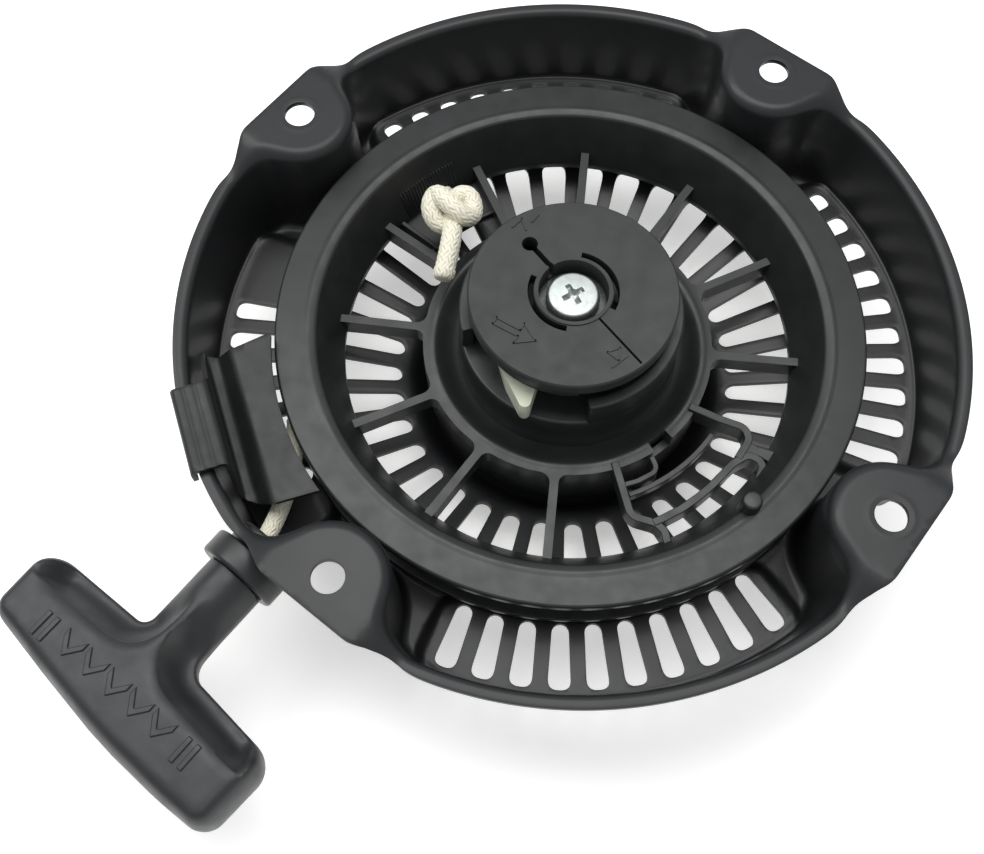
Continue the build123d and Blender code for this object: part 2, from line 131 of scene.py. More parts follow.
def rounded(points, radii, closed=False, step=18.0):
    """Polyline with each corner replaced by an arc of its radius, in steps of so many degrees."""
    count = len(points)
    path = []
    for k in range(count):
        here = Vector(points[k])
        if radii[k] <= 0 or not closed and k in (0, count - 1):
            path.append(tuple(here))
            continue
        back = Vector(points[k - 1]) - here
        ahead = Vector(points[(k + 1) % count]) - here
        turn = math.pi - back.angle(ahead)
        reach = min(radii[k] * math.tan(turn / 2), 0.49 * back.length, 0.49 * ahead.length)
        start = here + back.normalized() * reach
        end = here + ahead.normalized() * reach
        radius = reach / math.tan(turn / 2) if turn > 0.01 else 0
        if radius == 0:
            path.append(tuple(here))
            continue
        middle = (start + end) / 2
        centre = here + (middle - here).normalized() * math.hypot(radius, reach)
        pieces = max(1, math.ceil(math.degrees(turn) / step))
        first, last = start - centre, end - centre
        for n in range(pieces + 1):
            share = n / pieces
            spoke = first * math.sin((1 - share) * turn) + last * math.sin(share * turn)
            path.append(tuple(centre + spoke / math.sin(turn)))
    return path


def radial_slot(r_in, half_in, r_out, half_out, angle, square):
    """Outline of a radial slot, round at the inner end and squarer at the outer one."""
    outline = []
    for x, y in arc(1, -90, 90, 14):
        side = math.copysign(abs(y) ** square, y)
        outline.append((r_out + half_out * max(x, 0) ** square, half_out * side))
    lean = math.degrees(math.asin((half_out - half_in) / (r_out - r_in)))
    outline += arc(half_in, 90 + lean, 270 - lean, 8, (r_in, 0))
    return turned(outline, angle)


def inside(points, loop):
    """Which of the points lie inside a closed loop."""
    x, y = points[:, 0], points[:, 1]
    hit = np.zeros(len(points), bool)
    for (ax, ay), (bx, by) in zip(loop, loop[1:] + loop[:1]):
        crosses = (ay > y) != (by > y)
        with np.errstate(divide="ignore", invalid="ignore"):
            hit ^= crosses & (x < ax + (y - ay) * (bx - ax) / (by - ay))
    return hit


def distance_to(points, path):
    """Distance of each of the points from an open path."""
    best = np.full(len(points), np.inf)
    for a, b in zip(path, path[1:]):
        a, b = np.array(a), np.array(b)
        run = b - a
        share = np.clip(((points - a) @ run) / max(run @ run, 1e-12), 0, 1)
        best = np.minimum(best, np.hypot(*(points - a - share[:, None] * run).T))
    return best


def near_loop(points, loop, gap):
    """Which of the points lie within a gap of a closed loop."""
    return distance_to(points, loop + loop[:1]) < gap


def run_along(path):
    """Distance along a path at each of its points."""
    return np.concatenate([[0], np.cumsum(np.linalg.norm(np.diff(path, axis=0), axis=1))])


def smooth_min(p, q, width):
    """The lesser of two fields, rounded off where they cross."""
    h = np.maximum(width - np.abs(p - q), 0) / width
    return np.minimum(p, q) - h * h * width / 4


def ease(t):
    """Smooth step from 0 to 1."""
    t = np.clip(t, 0, 1)
    return t * t * (3 - 2 * t)


# --- Mesh building ------------------------------------------------------------------------------
class Shell:
    """Points and faces of a mesh while it is being made, in millimetres."""

    def __init__(self):
        self.points = []
        self.faces = []

    def add(self, points):
        """Adds points and returns their numbers."""
        first = len(self.points)
        self.points.extend(tuple(float(c) for c in p) for p in points)
        return list(range(first, len(self.points)))

    def strip(self, low, high, closed=False, flip=False):
        """Quads between two rows of point numbers."""
        pairs = list(zip(low, high))
        for (a, b), (c, d) in zip(pairs, pairs[1:] + (pairs[:1] if closed else [])):
            self.faces.append((a, b, d, c) if flip else (a, c, d, b))

    def rows(self, rows, closed=False):
        """Quads between each row of point numbers and the next."""
        for low, high in zip(rows, rows[1:]):
            self.strip(low, high, closed)

    def fill(self, loops, inner, flip=False):
        """Triangles inside the first loop and outside the others, through the inner points."""
        numbers = [n for loop in loops for n in loop] + list(inner)
        flat = [Vector(self.points[n][:2]) for n in numbers]
        edges = []
        at = 0
        for loop in loops:
            edges += [(at + k, at + (k + 1) % len(loop)) for k in range(len(loop))]
            at += len(loop)
        made = delaunay_2d_cdt(flat, edges, [], 1, 1e-7)
        known = [origin[0] for origin in made[3]]
        loop_of = np.repeat(np.arange(len(loops) + 1), [len(loop) for loop in loops] + [len(inner)])
        faces = np.array([[known[n] for n in face] for face in made[2]])
        plan = np.array(flat)
        spare = np.zeros(len(faces), bool)
        for k, loop in enumerate(loops):
            edge = np.all(loop_of[faces] == k, axis=1)
            middles = plan[faces[edge]].mean(axis=1)
            outline = [tuple(self.points[n][:2]) for n in loop]
            spare[edge] = inside(middles, outline) != (k == 0)
        for face in faces[~spare]:
            triangle = tuple(numbers[n] for n in face)
            self.faces.append(triangle[::-1] if flip else triangle)

    def piece(self, name, material, crease=32.0, closed=True):
        """Object with this mesh, smooth up to the crease angle, and facing outwards if it is closed."""
        mesh = bpy.data.meshes.new(name)
        mesh.from_pydata([(x * MM, y * MM, z * MM) for x, y, z in self.points], [], self.faces)
        mesh.validate()
        if closed:
            face_outwards(mesh, weld=True)
        mesh.shade_smooth()
        mesh.set_sharp_from_angle(angle=math.radians(crease))
        mesh.materials.append(material)
        obj = bpy.data.objects.new(name, mesh)
        bpy.context.scene.collection.objects.link(obj)
        return obj


def face_outwards(mesh, weld):
    """Turns the faces of a closed mesh outwards, and may join its coincident points first."""
    solid = bmesh.new()
    solid.from_mesh(mesh)
    if weld:
        bmesh.ops.remove_doubles(solid, verts=solid.verts, dist=1e-7)
    bmesh.ops.recalc_face_normals(solid, faces=solid.faces)
    solid.to_mesh(mesh)
    solid.free()


def spin(shell, path, steps, centre=(0, 0)):
    """Surface of revolution from (radius, height) points, with its outside to the left of the path."""
    rows = [shell.add([(x, y, z) for x, y in circle(r, steps, centre)]) for r, z in path]
    shell.rows(rows, closed=True)
    return rows


def slab(shell, outline, holes, inner, top, bottom):
    """Solid between two height functions over a plan outline with holes."""
    loops = [outline] + list(holes)
    plan = np.array([p for loop in loops for p in loop] + [tuple(p) for p in inner], float)
    upper = shell.add(np.column_stack([plan, top(plan[:, 0], plan[:, 1])]))
    lower = shell.add(np.column_stack([plan, bottom(plan[:, 0], plan[:, 1])]))
    sizes = [len(loop) for loop in loops]
    ends = np.cumsum([0] + sizes)
    for numbers, flip in ((upper, False), (lower, True)):
        groups = [numbers[a:b] for a, b in zip(ends, ends[1:])]
        shell.fill(groups, numbers[ends[-1]:], flip)
    for k, loop in enumerate(loops):
        low, high = lower[ends[k]:ends[k + 1]], upper[ends[k]:ends[k + 1]]
        x, y = np.array(loop).T
        anticlockwise = np.sum(x * np.roll(y, -1) - y * np.roll(x, -1)) > 0
        shell.strip(low, high, closed=True, flip=anticlockwise != (k == 0))


def plate(shell, outline, z_low, z_high):
    """Flat slab with level faces."""
    slab(shell, outline, [], [], lambda x, y: x * 0 + z_high, lambda x, y: x * 0 + z_low)


def bevel(obj, width, segments=2, angle=35.0):
    """Rounds the sharp edges of a piece by a width in millimetres."""
    weld = obj.modifiers.new("weld", "WELD")
    weld.merge_threshold = 0.000005
    edge = obj.modifiers.new("edges", "BEVEL")
    edge.width = width * MM
    edge.segments = segments
    edge.limit_method = "ANGLE"
    edge.angle_limit = math.radians(angle)
    edge.miter_outer = "MITER_ARC"
    return obj


def sheet_metal(obj, thickness, offset, edge):
    """Gives a surface its thickness, to one side or both, and just rounds the cut edges."""
    sheet = obj.modifiers.new("sheet", "SOLIDIFY")
    sheet.thickness = thickness * MM
    sheet.offset = offset
    bevel(obj, edge, 2, 55)


def place(obj, body, slot, *nodes):
    """Attaches a piece to its body and hides the CAD nodes that it stands for; the slot argument is not used.
    """
    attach(obj, body)
    if nodes:
        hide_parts(*nodes)


# --- Materials ----------------------------------------------------------------------------------
class Paint:
    """Short way to build a node material on one Principled shader."""

    def __init__(self, name, colour, roughness, metallic=0.0, specular=0.5):
        self.material = bpy.data.materials.new(name)
        self.material.use_nodes = True
        self.tree = self.material.node_tree
        self.shader = self.tree.nodes["Principled BSDF"]
        self.shader.inputs["Base Color"].default_value = (*colour, 1)
        self.shader.inputs["Roughness"].default_value = roughness
        self.shader.inputs["Metallic"].default_value = metallic
        self.shader.inputs["Specular IOR Level"].default_value = specular
        self.place = self.tree.nodes.new("ShaderNodeTexCoord").outputs["Object"]
        self.normal = None

    def node(self, kind, **settings):
        """New node with some of its settings or inputs given."""
        node = self.tree.nodes.new(kind)
        for key, value in settings.items():
            if key in node.inputs:
                node.inputs[key].default_value = value
            else:
                setattr(node, key, value)
        return node

    def link(self, out, into):
        self.tree.links.new(out, into)

    def noise(self, size, detail):
        """Noise whose features are about a size in millimetres."""
        noise = self.node("ShaderNodeTexNoise", Scale=1 / (size * MM), Detail=detail)
        self.link(self.place, noise.inputs["Vector"])
        return noise.outputs["Fac"]

    def ramp(self, value, low, high, to_low, to_high):
        """Value mapped from one range to another and held at its ends."""
        node = self.node("ShaderNodeMapRange")
        limits = {"From Min": low, "From Max": high, "To Min": to_low, "To Max": to_high}
        for key, number in limits.items():
            node.inputs[key].default_value = number
        self.link(value, node.inputs["Value"])
        return node.outputs["Result"]

    def rough(self, value, low, high, to_low, to_high):
        """Roughness that follows a value."""
        self.link(self.ramp(value, low, high, to_low, to_high), self.shader.inputs["Roughness"])

    def mix(self, share, first, second):
        """Colour between two colours, either of which may be a socket."""
        node = self.node("ShaderNodeMix", data_type="RGBA")
        self.link(share, node.inputs["Factor"])
        sockets = [s for s in node.inputs if s.type == "RGBA"]
        for socket, value in zip(sockets, (first, second)):
            if isinstance(value, tuple):
                socket.default_value = (*value, 1)
            else:
                self.link(value, socket)
        return [s for s in node.outputs if s.type == "RGBA"][0]

    def colour(self, value):
        self.link(value, self.shader.inputs["Base Color"])

    def bump(self, height, depth):
        """Bump from a height between 0 and 1 that stands for a depth in millimetres."""
        node = self.node("ShaderNodeBump", Strength=1.0, Distance=depth * MM)
        self.link(height, node.inputs["Height"])
        if self.normal:
            self.link(self.normal, node.inputs["Normal"])
        self.normal = node.outputs["Normal"]
        self.link(self.normal, self.shader.inputs["Normal"])


def case_paint():
    """Semi-gloss black paint with a fine orange peel and a little dust."""
    paint = Paint("case_paint", (0.011, 0.0115, 0.0125), 0.45, specular=0.42)
    paint.shader.inputs["Coat Weight"].default_value = 0.12
    paint.shader.inputs["Coat Roughness"].default_value = 0.16
    paint.rough(paint.noise(26, 3), 0.3, 0.7, 0.42, 0.52)
    dust = paint.ramp(paint.noise(0.55, 2), 0.74, 0.8, 0.0, 0.5)
    paint.colour(paint.mix(dust, (0.009, 0.0095, 0.0105), (0.05, 0.052, 0.052)))
    paint.bump(paint.noise(1.5, 2), 0.028)
    paint.bump(paint.noise(9.0, 1), 0.06)
    return paint.material


def moulded(name, colour, roughness, grain=0.35, depth=0.01, specular=0.45):
    """Moulded black plastic with a fine grain, cloudy shine and faint handling marks."""
    paint = Paint(name, colour, roughness, specular=specular)
    lighter = tuple(c * 1.35 + 0.002 for c in colour)
    paint.colour(paint.mix(paint.ramp(paint.noise(14, 4), 0.35, 0.75, 0.0, 1.0), colour, lighter))
    paint.rough(paint.noise(5.0, 5), 0.3, 0.7, roughness - 0.06, roughness + 0.08)
    paint.bump(paint.noise(grain, 2), depth)
    paint.bump(paint.noise(6.0, 2), 0.03)
    return paint.material


def rope_fibre():
    """Cream nylon braid with fine filaments, its grooves coloured darker as painted shade."""
    paint = Paint("rope_fibre", (0.82, 0.77, 0.6), 0.55, specular=0.4)
    groove = paint.node("ShaderNodeAttribute", attribute_name="groove").outputs["Fac"]
    along = paint.node("ShaderNodeAttribute", attribute_name="lay").outputs["Vector"]
    filaments = paint.node("ShaderNodeTexNoise", Scale=1.0, Detail=2.0)
    paint.link(along, filaments.inputs["Vector"])
    strand = paint.mix(paint.ramp(filaments.outputs["Fac"], 0.35, 0.7, 0.0, 1.0),
                       (0.88, 0.86, 0.74), (0.8, 0.75, 0.58))
    # painted shade: the braid's grooves, where the strands shade each other, are coloured dark brown
    paint.colour(paint.mix(paint.ramp(groove, 0.0, 0.7, 0.0, 1.0), (0.36, 0.31, 0.18), strand))
    paint.bump(filaments.outputs["Fac"], 0.05)
    paint.shader.inputs["Sheen Weight"].default_value = 0.25
    return paint.material


def nylon():
    """Milky moulded nylon."""
    paint = Paint("pawl_nylon", (0.66, 0.69, 0.55), 0.34, specular=0.5)
    paint.colour(paint.mix(paint.noise(4, 2), (0.6, 0.64, 0.5), (0.74, 0.76, 0.62)))
    paint.bump(paint.noise(0.4, 2), 0.01)
    paint.shader.inputs["Subsurface Weight"].default_value = 0.25
    paint.shader.inputs["Subsurface Radius"].default_value = (0.002, 0.002, 0.0014)
    return paint.material


def plated(name, colour, roughness):
    """Zinc or steel with a fine turned and tumbled finish."""
    paint = Paint(name, colour, roughness, metallic=1.0)
    marks = paint.noise(0.9, 3)
    paint.rough(marks, 0.3, 0.7, roughness - 0.06, roughness + 0.08)
    darker = tuple(c * 0.86 for c in colour)
    paint.colour(paint.mix(paint.ramp(paint.noise(2.5, 3), 0.35, 0.7, 0.0, 1.0), colour, darker))
    paint.bump(marks, 0.006)
    return paint.material


CASE = case_paint()
GUARD = moulded("guard_black", (0.0105, 0.011, 0.0115), 0.44, grain=0.5, depth=0.012, specular=0.4)
REEL = moulded("reel_black", (0.0125, 0.0135, 0.0135), 0.37, grain=0.3, depth=0.006)
DISC = moulded("disc_black", (0.016, 0.0178, 0.0178), 0.5, grain=0.22, depth=0.01)
GRIP = moulded("grip_black", (0.0165, 0.017, 0.0185), 0.43, grain=0.32, depth=0.016)
BUSH = moulded("bush_black", (0.0135, 0.014, 0.015), 0.36, grain=0.3, depth=0.006)
ROPE = rope_fibre()
PAWL = nylon()
ZINC = plated("zinc_plate", (0.5, 0.535, 0.52), 0.48)
SPRING = plated("spring_steel", (0.3, 0.31, 0.33), 0.32)
WASHER = plated("washer_steel", (0.07, 0.072, 0.075), 0.3)
TURNED = plated("turned_steel", (0.5, 0.51, 0.52), 0.3)


# --- Case ---------------------------------------------------------------------------------------
FLARE = math.radians(15)
CORNER_BLEND = 12.0
EAR_DRAFT, BOWL_DRAFT = 1.0, 3.2
EAR_EDGE_R, LIP_EDGE_R, FOOT_R = 3.2, 2.0, 2.2
PAD_HALF, PAD_FALL = 12.5, 12.5
EAR_CHORD = 98.3    # how far out the rim's near-straight edge lies at an ear
DIP, DIP_ACROSS, DIP_WIDTH = 1.2, 21.5, 4.5    # the dip beside it
CONE_PATH = rounded([(99, -28.0)] + CONE + [(0, -48.3)], [0, 4, 4, 3, 3, 0], step=6)


def ear_axes(x, y):
    """Distances out along the nearest ear's own axis and across it."""
    ear = EAR_ANGLE + 90 * np.round((np.degrees(np.arctan2(y, x)) - EAR_ANGLE) / 90)
    c, s = np.cos(np.radians(ear)), np.sin(np.radians(ear))
    return x * c + y * s, y * c - x * s


def cavity_fields(x, y):
    """Distance into the bowl from its wall line, and how much that line is an ear's and not the rim's."""
    out, across = ear_axes(x, y)
    ahead, across = out - BOLT_R, np.abs(across)
    c, s = math.cos(FLARE), math.sin(FLARE)
    flank = across * c - ahead * s - EAR_R
    ear = np.where(ahead * c + across * s > 0, flank, np.hypot(ahead, across) - EAR_R)
    bowl = LIP_R - np.hypot(x, y)
    ear_share = ease((bowl - ear) / CORNER_BLEND + 0.5)
    return smooth_min(ear, bowl, CORNER_BLEND), ear_share


def land_height(x, y):
    """Height of the rim's lip and the ears' pads."""
    out, across = ear_axes(x, y)
    fall = ease((np.abs(across) - PAD_HALF) / PAD_FALL) * (out > 0)
    hole = np.hypot(out - BOLT_R, across)
    burr = 0.06 * np.exp(-((hole - BOLT_HOLE_R - 1.3) / 0.5) ** 2)
    return RIM_Z * fall + burr


def floor_height(x, y):
    """Height of the bowl's floor: slotted panels raised above the rest, then the cone and the dish."""
    r = np.hypot(x, y)
    angle = np.degrees(np.arctan2(y, x))
    middle = EAR_ANGLE - 45 + 90 * np.round((angle - EAR_ANGLE + 45) / 90)
    half_r = (PANEL_R[1] - PANEL_R[0]) / 2
    off_r = np.abs(r - sum(PANEL_R) / 2) - half_r + 4
    off_t = (np.abs(angle - middle) - PANEL_HALF_ANGLE) * np.radians(1) * r + 4
    corner = np.hypot(np.maximum(off_r, 0), np.maximum(off_t, 0))
    beyond = corner + np.minimum(np.maximum(off_r, off_t), 0) - 4
    deep = ease(beyond / 3.2) * ease((r - 70) / 3.5) * (PANEL_Z - DEEP_Z)
    knots = np.array(CONE_PATH)
    return np.interp(-r, -knots[:, 0], knots[:, 1]) - deep


def wall_step(reach, x, y, ear_share):
    """Height at a distance past the wall line: land, rounded edge, drafted wall, rounded foot, floor."""
    high, low = land_height(x, y), floor_height(x, y)
    draft = BOWL_DRAFT + (EAR_DRAFT - BOWL_DRAFT) * ear_share
    edge_r = LIP_EDGE_R + (EAR_EDGE_R - LIP_EDGE_R) * ear_share
    slope = np.arctan2(high - low, draft)
    edge_reach, foot_reach = edge_r * np.tan(slope / 2), FOOT_R * np.tan(slope / 2)
    wall = high - (high - low) * np.clip(reach / draft, 0, 1)
    edge = high - edge_r + np.sqrt(np.maximum(edge_r ** 2 - (reach + edge_reach) ** 2, 0))
    foot = low + FOOT_R - np.sqrt(np.maximum(FOOT_R ** 2 - (reach - draft - foot_reach) ** 2, 0))
    z = np.where(reach < -edge_reach, high, wall)
    z = np.where((reach >= -edge_reach) & (reach < edge_reach * np.cos(slope)), edge, z)
    z = np.where((reach > draft - foot_reach * np.cos(slope)) & (reach <= draft + foot_reach), foot, z)
    return np.where(reach > draft + foot_reach, low, z)


def to_reach(points, reach):
    """Moves plan points along the cavity field until they lie at a distance past the wall line."""
    small = 1e-4
    for _ in range(12):
        x, y = points.T
        value = cavity_fields(x, y)[0]
        ahead, aside = cavity_fields(x + small, y)[0], cavity_fields(x, y + small)[0]
        grad = np.column_stack([ahead - value, aside - value]) / small
        step = (reach - value) / np.maximum((grad ** 2).sum(1), 0.2)
        points = points + np.clip(step, -0.5, 0.5)[:, None] * grad
    return points


def wall_line(spacing):
    """Evenly spaced points along the wall line, once round the bowl."""
    quarter = arc(LIP_R, -45, -12, 40) + arc(EAR_R, 240, 120, 40, (BOLT_R, 0)) + arc(LIP_R, 12, 45, 40)
    guess = np.array([p for k in range(4) for p in turned(quarter[:-1], EAR_ANGLE + 90 * k)])
    for _ in range(3):
        guess = to_reach(guess, 0.0)
        closed = np.vstack([guess, guess[:1]])
        run = run_along(closed)
        at = np.linspace(0, run[-1], int(run[-1] / spacing), endpoint=False)
        guess = np.column_stack([np.interp(at, run, closed[:, 0]), np.interp(at, run, closed[:, 1])])
    return to_reach(guess, 0.0)


def rim_outline():
    """Outer edge of the sheet: round, with a near-straight edge on each ear and a dip beside it."""
    loop = []
    for angle in np.arange(0, 360, 0.5):
        off = math.radians((angle - EAR_ANGLE + 45) % 90 - 45)
        across = abs(RIM_R * math.sin(off))
        chord = EAR_CHORD / math.cos(off)
        round_r = RIM_R - DIP * math.exp(-((across - DIP_ACROSS) / DIP_WIDTH) ** 2)
        share = float(ease((across - PAD_HALF + 1.5) / 6.0))
        loop.append(polar(chord + (round_r - chord) * share, angle))
    return loop


def case_shell():
    """Top surface of the pressed case."""
    shell = Shell()
    line = wall_line(1.05)
    reaches = [-2.3, -1.9, -1.5, -1.05, -0.65, -0.35, -0.12, 0.08, 0.25, 0.45, 0.7, 1.0,
               1.35, 1.75, 2.15, 2.5, 2.8, 3.1, 3.4, 3.7, 4.0, 4.35, 4.7]
    at_reach = {0.0: line}
    outwards = sorted((r for r in reaches if r < 0), reverse=True)
    for order in (sorted(r for r in reaches if r > 0), outwards):
        points = line
        for reach in order:
            points = to_reach(points, reach)
            at_reach[reach] = points
    rows = []
    for reach in reaches:
        points = at_reach[reach]
        share = cavity_fields(*points.T)[1]
        rows.append(shell.add(np.column_stack([points, wall_step(reach, *points.T, share)])))
    shell.rows(rows, closed=True)

    def lift(plan):
        plan = np.array(plan, float)
        reach, share = cavity_fields(*plan.T)
        return shell.add(np.column_stack([plan, wall_step(reach, *plan.T, share)]))

    outer = rim_outline()
    bolts = [circle(BOLT_HOLE_R, 40, polar(BOLT_R, EAR_ANGLE + 90 * k)) for k in range(4)]
    land = []
    for k in range(4):
        centre = polar(BOLT_R, EAR_ANGLE + 90 * k)
        for radius in (4.4, 4.8, 5.2, 5.6, 6.1, 6.8):
            land += circle(radius, 40, centre)
    grid = np.array([(x, y) for x in np.arange(-100, 100, 1.3) for y in np.arange(-100, 100, 1.3)])
    reach = cavity_fields(*grid.T)[0]
    out, across = ear_axes(*grid.T)
    bolt_gap = np.hypot(out - BOLT_R, across)
    grid = grid[(reach < -4.4) & (bolt_gap > 7.6)]
    grid = np.vstack([grid] + [to_reach(line, reach) for reach in (-2.7, -3.1, -3.6)])
    keep = inside(grid, outer)
    keep[keep] &= ~near_loop(grid[keep], outer, 0.6)
    land += [tuple(p) for p in grid[keep]]
    shell.fill([lift(outer), rows[0]] + [lift(loop) for loop in bolts], lift(land))

    slots = outer_slots() + [radial_slot(*INNER_SLOT, 1.75 + 10 * k, INNER_SQUARE) for k in range(36)]
    hole = circle(SPINDLE_HOLE_R, 32)
    # rings of points: from, to and apart, how many on each, and the twist that staggers them
    rings = ((70.2, 93.5, 0.95, 470, 11), (35, 70, 1.25, 220, 17), (8, 34.5, 3.5, 60, 17))
    floor = []
    for first, last, apart, count, twist in rings:
        for r in np.arange(first, last, apart):
            floor += turned(circle(r, count), r * twist)
    floor = np.array(floor)
    floor = floor[cavity_fields(*floor.T)[0] > 5.2]
    for slot in slots:
        centre = np.mean(slot, axis=0)
        close = np.hypot(*(floor - centre).T) < 14
        bad = np.zeros(len(floor), bool)
        bad[close] = inside(floor[close], slot) | near_loop(floor[close], slot, 0.55)
        floor = floor[~bad]
    shell.fill([rows[-1], lift(hole)] + [lift(slot) for slot in slots], lift(floor))
    return shell


def outer_slots():
    """Slots in the four panels; the rope's side is plain near its ears."""
    slots = []
    for quarter in range(4):
        middle = EAR_ANGLE - 45 + 90 * quarter
        for k in range(10):
            angle = middle + (k - 4.5) * 6
            if quarter != 2 or 168 < angle < 210:
                slots.append(radial_slot(*OUTER_SLOT, angle, OUTER_SQUARE))
    return slots


def build_case():
    """Pressed steel case."""
    obj = case_shell().piece("case_pressing", CASE, crease=50, closed=False)
    sheet_metal(obj, SHEET, -1, 0.28)
    place(obj, "case", "case_paint", "case")


# --- Reel ---------------------------------------------------------------------------------------
SPOKE_Z = -21.0
SPOKE_END_R = 60.4
HOOK_ANGLES = (288, 329)    # these two spokes turn into the hooked ribs
NOTCH = [(34.9, 304.0), (34.9, 313.2)]
COVE = [(28.2, -24.6), (30.0, -24.2), (31.6, -23.4), (33.0, -22.4), (33.9, -21.75), (34.7, -21.3),
        (35.4, -21.25), (36.2, -21.5), (37.0, -21.6), (46.0, -21.3), (62.0, -21.0)]


def ribbon(path, width):
    """Outline of a rib of even width along a centreline."""
    path = np.array(path, float)
    along = np.gradient(path, axis=0)
    along /= np.hypot(*along.T)[:, None]
    side = np.column_stack([-along[:, 1], along[:, 0]]) * width / 2
    return [tuple(p) for p in path + side] + [tuple(p) for p in (path - side)[::-1]]


def star_outline():
    """Plateau with the spokes that reach the rim, filleted where they meet."""
    angles = [a for a in SPOKE_ANGLES if a not in HOOK_ANGLES]
    lean = math.degrees(SPOKE / 2 / PLATEAU_R)
    points, radii = [], []
    for here, ahead in zip(angles, angles[1:] + [angles[0] + 360]):
        for side in (-1, 1):
            tip = turned([(SPOKE_END_R, side * SPOKE / 2)], here)[0]
            root = polar(PLATEAU_R, here + side * lean)
            points += [root, tip] if side < 0 else [tip, root]
            radii += [3.2, 0] if side < 0 else [0, 3.2]
        between = np.arange(here + 8, ahead - 7, 2.5)
        if here < NOTCH[0][1] < ahead:
            between = [a for a in between if not NOTCH[0][1] - 1 < a < NOTCH[1][1] + 1]
            at = sum(a < NOTCH[0][1] for a in between)
            mouth = [polar(PLATEAU_R, angle) for _, angle in NOTCH]
            notch = [mouth[0]] + [polar(*corner) for corner in NOTCH] + [mouth[1]]
            points += [polar(PLATEAU_R, a) for a in between[:at]] + notch
            points += [polar(PLATEAU_R, a) for a in between[at:]]
            radii += [0] * at + [0.5] * 4 + [0] * (len(between) - at)
        else:
            points += [polar(PLATEAU_R, a) for a in between]
            radii += [0] * len(between)
    return rounded(points, radii, closed=True)


def reel_spider():
    """Plateau with its cove, and the spokes."""
    def top(x, y):
        r = np.hypot(x, y)
        knots = np.array(COVE)
        return np.interp(r, knots[:, 0], knots[:, 1])

    shell = Shell()
    outline = star_outline()
    radii = (28.9, 29.6, 30.3, 31.0, 31.7, 32.3, 32.9, 33.4, 33.9, 34.3, 34.7, 35.1, 35.5, 36.0, 36.6)
    rings = [p for r in radii for p in turned(circle(r, 180), r * 13)]
    rings = np.array(rings)
    rings = rings[inside(rings, outline) & ~near_loop(rings, outline, 0.4)]
    slab(shell, outline, [circle(28.2, 120)], rings, top, lambda x, y: x * 0 + REEL_BOTTOM_Z)
    return bevel(shell.piece("reel_spider", REEL, crease=40), 0.45, 3)


def reel_ribs():
    """Hooked ribs and box by the notch, and the pocket and ribbed patch of wall behind the knot."""
    shell = Shell()
    low, high = REEL_BOTTOM_Z, SPOKE_Z

    def rib(points, radii, width=2.0, top=high):
        route = rounded([polar(*p) for p in points], radii, step=12)
        plate(shell, ribbon(divided(route, 1.5, closed=False), width), low, top)

    rib([(36, 287.8), (50.6, 286.6), (54.4, 292.2), (57.0, 293.2), (60.8, 292.4)], [0, 3.0, 3.0, 1.8, 0])
    rib([(54.0, 291.5), (54.0, 297.0), (53.8, 302.5), (53.5, 308.0), (53.3, 313.5), (53.1, 319.5),
         (55.0, 324.2), (59.2, 324.4), (61.0, 319.0)], [0, 40, 40, 40, 40, 12, 2.6, 2.4, 0], top=high + 0.2)
    rib([(36, 328.3), (44.5, 329.4), (53.2, 331.0), (53.4, 321.5)], [0, 0, 3.4, 0], top=high + 0.26)
    web = [(52.6, 328.0), (55.6, 327.2), (61.0, 328.6), (61.0, 325.2), (57, 325.2), (53.4, 323.0)]
    web = rounded([polar(*p) for p in web], [0, 3.0, 0, 0, 1.5, 0], closed=True)
    plate(shell, web, low + 2, high + 0.12)
    rib([(42.4, 287.6), (42.6, 293.0), (42.4, 300.8), (38.5, 301.8)], [0, 0, 2.2, 0], 1.4, high - 0.2)
    rib([(44.4, a) for a in range(289, 328, 3)], [0] * 13, 1.5, high - 2.6)
    pocket = arc(46.5, 114.6, 143.4, 14) + arc(59.6, 143.4, 114.6, 14)
    plate(shell, pocket, low - 0.4, low + 0.5)
    plate(shell, arc(40.5, 113.5, 119.3, 4) + arc(48.0, 119.3, 113.5, 4), low - 0.3, low + 0.6)
    rib([(40.5, 139.4), (50.0, 139.8), (58.0, 140.0)], [0, 0, 0], 1.2, high - 1.8)
    rib([(46.5, 114.5), (46.5, 121.0), (46.5, 128.0), (46.5, 136.0), (46.5, 143.5)], [0] * 5, 1.2, high - 3.4)
    slope = (LIP_IN_R - WALL_BOTTOM_R) / (LIP_IN_Z - GROOVE_BOTTOM_Z)
    bar = [(WALL_BOTTOM_R + slope * (z - GROOVE_BOTTOM_Z) - 0.3, z) for z in (-23.8, -17.0)]
    for k in range(19):
        angle = 120.5 + k * 0.9
        a, b, c, d, e, f, g, h = shell.add([(*polar(r + out, angle + turn), z) for turn in (-0.2, 0.2)
                                            for r, z in bar for out in (0, 1.0)])
        shell.faces += [(a, c, g, e), (c, d, h, g), (a, b, d, c), (e, f, h, g), (a, b, f, e), (b, d, h, f)]
    return bevel(shell.piece("reel_ribs", REEL, crease=40), 0.3, 2)


